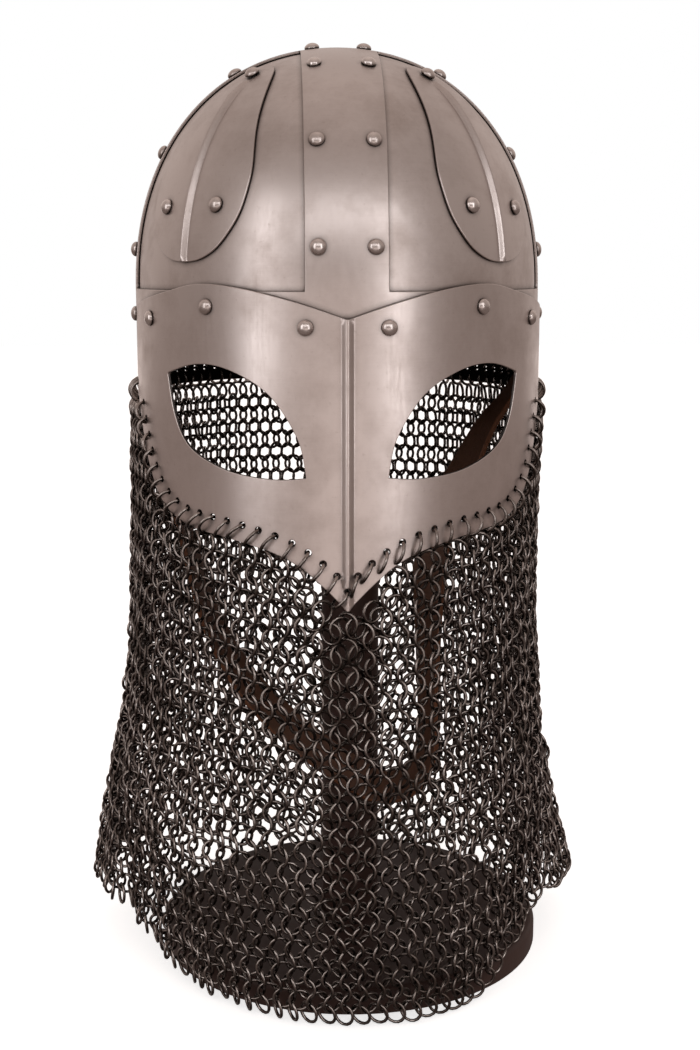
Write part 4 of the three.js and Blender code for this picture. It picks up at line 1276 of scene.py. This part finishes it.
class HELMET_OT_chin_strap(HelmetOperator, bpy.types.Operator):
    """Builds the twisted leather chin strap"""

    bl_idname = "helmet.chin_strap"
    bl_label = "Chin strap"

    ROUTE = [  # shares of the half width, forward reach and hang, and the strap's twist in degrees
        (-0.955, 0.2, 0.14, 0), (-0.952, 0.2, 0.04, 0), (-0.935, 0.2, -0.06, 0), (-0.87, 0.2, -0.2, 8),
        (-0.77, 0.2, -0.36, 15), (-0.71, 0.3, -0.47, 22), (-0.64, 0.4, -0.58, 28), (-0.5, 0.6, -0.705, 38),
        (-0.34, 0.78, -0.795, 48), (-0.15, 0.95, -0.875, 55), (0.03, 1, -0.94, 55), (0.21, 1, -0.99, 45),
        (0.37, 1, -0.97, 35), (0.45, 0.96, -0.88, 28), (0.455, 0.9, -0.76, 25), (0.455, 0.8, -0.56, 40),
        (0.47, 0.68, -0.41, 60), (0.54, 0.56, -0.28, 58), (0.635, 0.45, -0.19, 38), (0.75, 0.35, -0.08, 20),
        (0.86, 0.25, -0.01, 8), (0.94, 0.2, 0.06, 3), (0.955, 0.2, 0.14, 0),
    ]

    def execute(self, context):
        sizes, strap = context.scene.helmet_bowl, context.scene.helmet_strap
        scale = [sizes.width / 2, -strap.forward, strap.hang, 1]
        line = smooth_line(np.array(self.ROUTE) * scale, 900)
        path, twists = line[:, :3], line[:, 3]
        route = resample(path, 0.002)
        places = np.linspace(0, walked(path)[-1], len(route))
        twist = np.radians(np.interp(places, walked(path), twists))[:, None]
        along = unit(np.gradient(route, axis=0))
        back = unit(np.array([0, 1.0, 0]) - along * along[:, 1:2])
        broad = back * np.cos(twist) + np.cross(along, back) * np.sin(twist)
        thick = np.cross(broad, along)
        outline, edge = self.section(strap)
        rings = route[:, None] + broad[:, None] * outline[:, :1] + thick[:, None] * outline[:, 1:]
        rings = rings + np.array([-sizes.shift, 0, sizes.rim])
        m, n = rings.shape[:2]
        faces, kinds = [], []
        for i in range(m - 1):
            for j in range(n):
                k = (j + 1) % n
                faces.append((i * n + j, i * n + k, (i + 1) * n + k, (i + 1) * n + j))
                kinds.append(int(edge[j]))
        faces += [tuple(reversed(range(n))), tuple(range((m - 1) * n, m * n))]
        kinds += [1, 1]
        points, looks = rings.reshape(-1, 3), ["strap_leather", "strap_edge"]
        piece = add_piece("strap", points, faces, looks, ["chin_strap"], None, kinds)
        self.need(len(piece.data.polygons) == len(faces), "the strap's faces were dropped")
        return {"FINISHED"}

    def section(self, strap):
        """The strap's cross-section, and which of its sides are cut edges."""
        w, t = strap.width / 2, strap.thick / 2
        r = t * 0.5
        broad = t * 0.93  # the broad faces are a little hollow
        arcs = [corner_arc((w - r, t - r), r, 90, 0, 3), corner_arc((w - r, r - t), r, 0, -90, 3),
                corner_arc((r - w, r - t), r, -90, -180, 3), corner_arc((r - w, t - r), r, 180, 90, 3)]
        under = [[w * 0.6, -broad], [0, -broad], [-w * 0.6, -broad]]
        over = [[-w * 0.6, broad], [0, broad], [w * 0.6, broad]]
        outline = np.vstack([*arcs[:2], under, *arcs[2:], over])
        step = np.roll(outline, -1, axis=0) - outline
        return outline, np.abs(step[:, 1]) > np.abs(step[:, 0])


class HELMET_OT_stand(HelmetOperator, bpy.types.Operator):
    """Turns the round foot and the post with its pad"""

    bl_idname = "helmet.stand"
    bl_label = "Stand"

    SOFT = 0.001  # rounding of the small edges

    def execute(self, context):
        scene = context.scene
        stand, sizes = scene.helmet_stand, scene.helmet_bowl
        radius, rounding, high, soft = stand.base / 2, stand.round, stand.height, self.SOFT
        well = stand.post / 2 + sizes.gap
        seat = high - stand.socket
        profile = np.vstack([
            [(0, 0), (radius - 3 * soft, 0)],
            corner_arc((radius - soft, soft), soft, -90, 0, 3),
            corner_arc((radius - rounding, high - rounding), rounding, 0, 90, 8),
            [(r, high) for r in np.linspace(radius - rounding - 2 * soft, well + soft, 12)],
            [(well, high - soft / 2), (well, seat), (0, seat)],
        ])
        points, faces = lathe(profile, 128)
        add_piece("base_turned", points, faces, ["stand_wood"], ["stand_base"])
        self.post(stand, sizes, seat + sizes.gap)
        return {"FINISHED"}

    def post(self, stand, sizes, foot):
        """The post from its seat up, and its pad with a top that fits under the skull plates."""
        bowl = Bowl(sizes)
        hollow = -sizes.frame - 2 * sizes.gap - sizes.plate
        crown = sizes.rim + sizes.brow + sizes.crown
        radius, pad = stand.post / 2, stand.pad / 2
        upright = [(0, foot), (radius - self.SOFT, foot), (radius, foot + self.SOFT)]
        neck, shoulder = crown - stand.pad_depth * 1.5, crown - stand.pad_depth
        upright += [(radius, z) for z in np.linspace(foot + 10 * self.SOFT, neck, 12)]
        upright += [(mix(radius, pad, s), mix(neck, shoulder, s)) for s in (0.25, 0.5, 0.75, 1)]
        tops = [(r, crown) for r in np.linspace(pad, 0, 10)]
        points, faces = lathe(upright + tops, 64)
        top = points[:, 2] > crown - 1e-6
        x, y = points[top, 0] + sizes.shift, points[top, 1]
        plan = np.hypot(x / (bowl.half[0] + hollow), y / (bowl.half[1] + hollow))
        rise = (1 - plan**bowl.power) ** (1 / bowl.power)
        points[top, 2] = sizes.rim + sizes.brow + (sizes.crown + hollow) * rise
        add_piece("post_turned", points, faces, ["stand_wood"], ["stand_post"])


class HELMET_OT_stage(HelmetOperator, bpy.types.Operator):
    """Sets the pale floor, the soft lights and the camera at the photograph's angle"""

    bl_idname = "helmet.stage"
    bl_label = "Floor, lights and camera"

    LIGHTS = [  # name, place, aim, width, height, brightness
        ("key_left", (-1.18, -1.05, 0.72), (0, 0, 0.60), 0.55, 1.4, 1.75),
        ("key_right", (0.80, -1.33, 0.72), (0, 0, 0.60), 0.40, 1.4, 2.0),
        ("front_top", (-0.1, -1.6, 1.20), (0, 0, 0.35), 1.6, 0.6, 1.2),
    ]
    TINT = (0.95, 0.97, 1.0)
    LENS, SENSOR = 51.82, 36.0  # millimetres
    VIEWPOINT, PITCH, SWING = (-0.0382, -0.7805, 0.3586), -9.78, -2.8  # metres, degrees
    REACH = 6.0  # half the floor's side, metres
    SIDE_DIM, GLOW = 0.75, 0.71  # how the floor that the steel sees dims to the sides, and how it glows
    DIM, PALE = (0.235, 0.20, 0.187, 1), (0.98, 0.93, 0.91, 1)  # that floor at its sides, and ahead
    SKY = [(0.0, 0.45), (0.5, 0.45), (0.66, 0.55), (0.9, 0.53), (1.0, 0.76)]  # (height, brightness)
    WARMTH = (1, 0.87, 0.81)  # the studio's colour

    def execute(self, context):
        scene = context.scene
        self.camera(scene)
        self.floor(scene)
        for name, place, aim, width, height, bright in self.LIGHTS:
            light = bpy.data.lights.new(name, "AREA")
            light.shape, light.size, light.size_y = "RECTANGLE", width, height
            light.energy = bright * math.pi * width * height
            light.color = self.TINT
            lamp = bpy.data.objects.new(name, light)
            lamp.location = place
            lamp.rotation_euler = (Vector(aim) - Vector(place)).to_track_quat("-Z", "Y").to_euler()
            scene.collection.objects.link(lamp)
        self.surroundings(scene)
        scene.view_settings.view_transform = "Standard"
        return {"FINISHED"}

    def camera(self, scene):
        camera = bpy.data.cameras.new("camera")
        camera.lens, camera.sensor_width = self.LENS, self.SENSOR
        camera.clip_start, camera.clip_end = 0.05, 50.0
        viewer = bpy.data.objects.new("camera", camera)
        viewer.location = self.VIEWPOINT
        viewer.rotation_euler = (math.radians(90 + self.PITCH), 0, math.radians(self.SWING))
        scene.collection.objects.link(viewer)
        scene.camera = viewer

    def camera_choice(self, tree, seen, others, surface):
        """Leads one shader to camera rays and another to all other rays."""
        rays = tree.nodes.new("ShaderNodeLightPath")
        choose = tree.nodes.new("ShaderNodeMixShader")
        tree.links.new(rays.outputs["Is Camera Ray"], choose.inputs["Fac"])
        tree.links.new(others.outputs[0], choose.inputs[1])
        tree.links.new(seen.outputs[0], choose.inputs[2])
        tree.links.new(choose.outputs[0], surface)

    def floor(self, scene):
        """A pale floor. The steel sees another one: pale before and behind it, dim to the sides."""
        material, tree, shader = new_material("pale_floor")
        base = tuple(scene.helmet_colours.floor)
        where = stretched(tree, PLAIN)
        cloud = blend_colour(tree, noise(tree, where, 3.0), base, shaded(base, 0.985))
        set_inputs(tree, shader, {"Base Color": cloud, "Emission Color": cloud, "Emission Strength": 0.75,
                                  "Roughness": 0.9, "Specular IOR Level": 0.1})
        place = add_node(tree, "ShaderNodeSeparateXYZ", {"Vector": where})
        x, y = (sums(tree, "ABSOLUTE", place.outputs[axis]) for axis in "XY")
        ahead = sums(tree, "SUBTRACT", y, sums(tree, "MULTIPLY", x, self.SIDE_DIM))
        tone = blend_colour(tree, span(tree, ahead, 0.3, 1.5), self.DIM, self.PALE)
        bounce = add_node(tree, "ShaderNodeBsdfPrincipled", {
            "Base Color": tone, "Emission Color": tone, "Emission Strength": self.GLOW,
            "Roughness": 0.9, "Specular IOR Level": 0.0,
        })
        self.camera_choice(tree, shader, bounce, tree.nodes["Material Output"].inputs["Surface"])
        corners = [(x * self.REACH, y * self.REACH, 0) for x, y in ((-1, -1), (1, -1), (1, 1), (-1, 1))]
        floor = add_mesh("floor", corners, [(0, 1, 2, 3)], [material])

    def surroundings(self, scene):
        """A dim studio, brighter overhead and behind the helmet; the camera sees it as plain white."""
        world = bpy.data.worlds.new("studio")
        scene.world = world
        world.use_nodes = True
        tree = world.node_tree
        tree.nodes.clear()
        where = tree.nodes.new("ShaderNodeTexCoord").outputs["Generated"]
        direction = add_node(tree, "ShaderNodeSeparateXYZ", {"Vector": where})
        height = span(tree, direction.outputs["Z"], -1, 1)
        ramp = add_node(tree, "ShaderNodeValToRGB", {"Fac": height})
        stops = ramp.color_ramp.elements
        stops[0].position, stops[1].position = self.SKY[0][0], self.SKY[-1][0]
        for place, _ in self.SKY[1:-1]:
            stops.new(place)
        for stop, (_, tone) in zip(stops, self.SKY):
            stop.color = (*(tone * share for share in self.WARMTH), 1)
        brighter = span(tree, direction.outputs["Y"], 0.0, 0.8, 0.8, 1.25)
        tone = ramp.outputs["Color"]
        studio = add_node(tree, "ShaderNodeBackground", {"Color": tone, "Strength": brighter})
        white = add_node(tree, "ShaderNodeBackground", {"Color": (1, 1, 1, 1)})
        out = tree.nodes.new("ShaderNodeOutputWorld")
        self.camera_choice(tree, white, studio, out.inputs["Surface"])


OPERATORS = [
    HELMET_OT_stage,
    HELMET_OT_band_frame,
    HELMET_OT_skull_plates,
    HELMET_OT_leaves,
    HELMET_OT_mask,
    HELMET_OT_rivets,
    HELMET_OT_mail,
    HELMET_OT_hanging_rings,
    HELMET_OT_chin_strap,
    HELMET_OT_stand,
]


class HELMET_PT_panel(bpy.types.Panel):
    """The helmet's pieces, sizes and colours"""

    bl_idname = "HELMET_PT_panel"
    bl_label = "Helmet"
    bl_space_type = "VIEW_3D"
    bl_region_type = "UI"
    bl_category = "Helmet"

    def draw(self, context):
        for operator in OPERATORS:
            self.layout.operator(operator.bl_idname)
        for name, group in GROUPS.items():
            box = self.layout.box()
            box.label(text=name.replace("_", " "))
            for label in group.__annotations__:
                box.prop(getattr(context.scene, name), label)


def register():
    for name, group in GROUPS.items():
        bpy.utils.register_class(group)
        setattr(bpy.types.Scene, name, bpy.props.PointerProperty(type=group))
    for item in [*OPERATORS, HELMET_PT_panel]:
        bpy.utils.register_class(item)


def unregister():
    for item in [HELMET_PT_panel, *reversed(OPERATORS)]:
        bpy.utils.unregister_class(item)
    for name, group in GROUPS.items():
        delattr(bpy.types.Scene, name)
        bpy.utils.unregister_class(group)


def main():
    register()
    for operator in OPERATORS:
        group, name = operator.bl_idname.split(".")
        getattr(getattr(bpy.ops, group), name)()


if __name__ == "__main__":
    main()
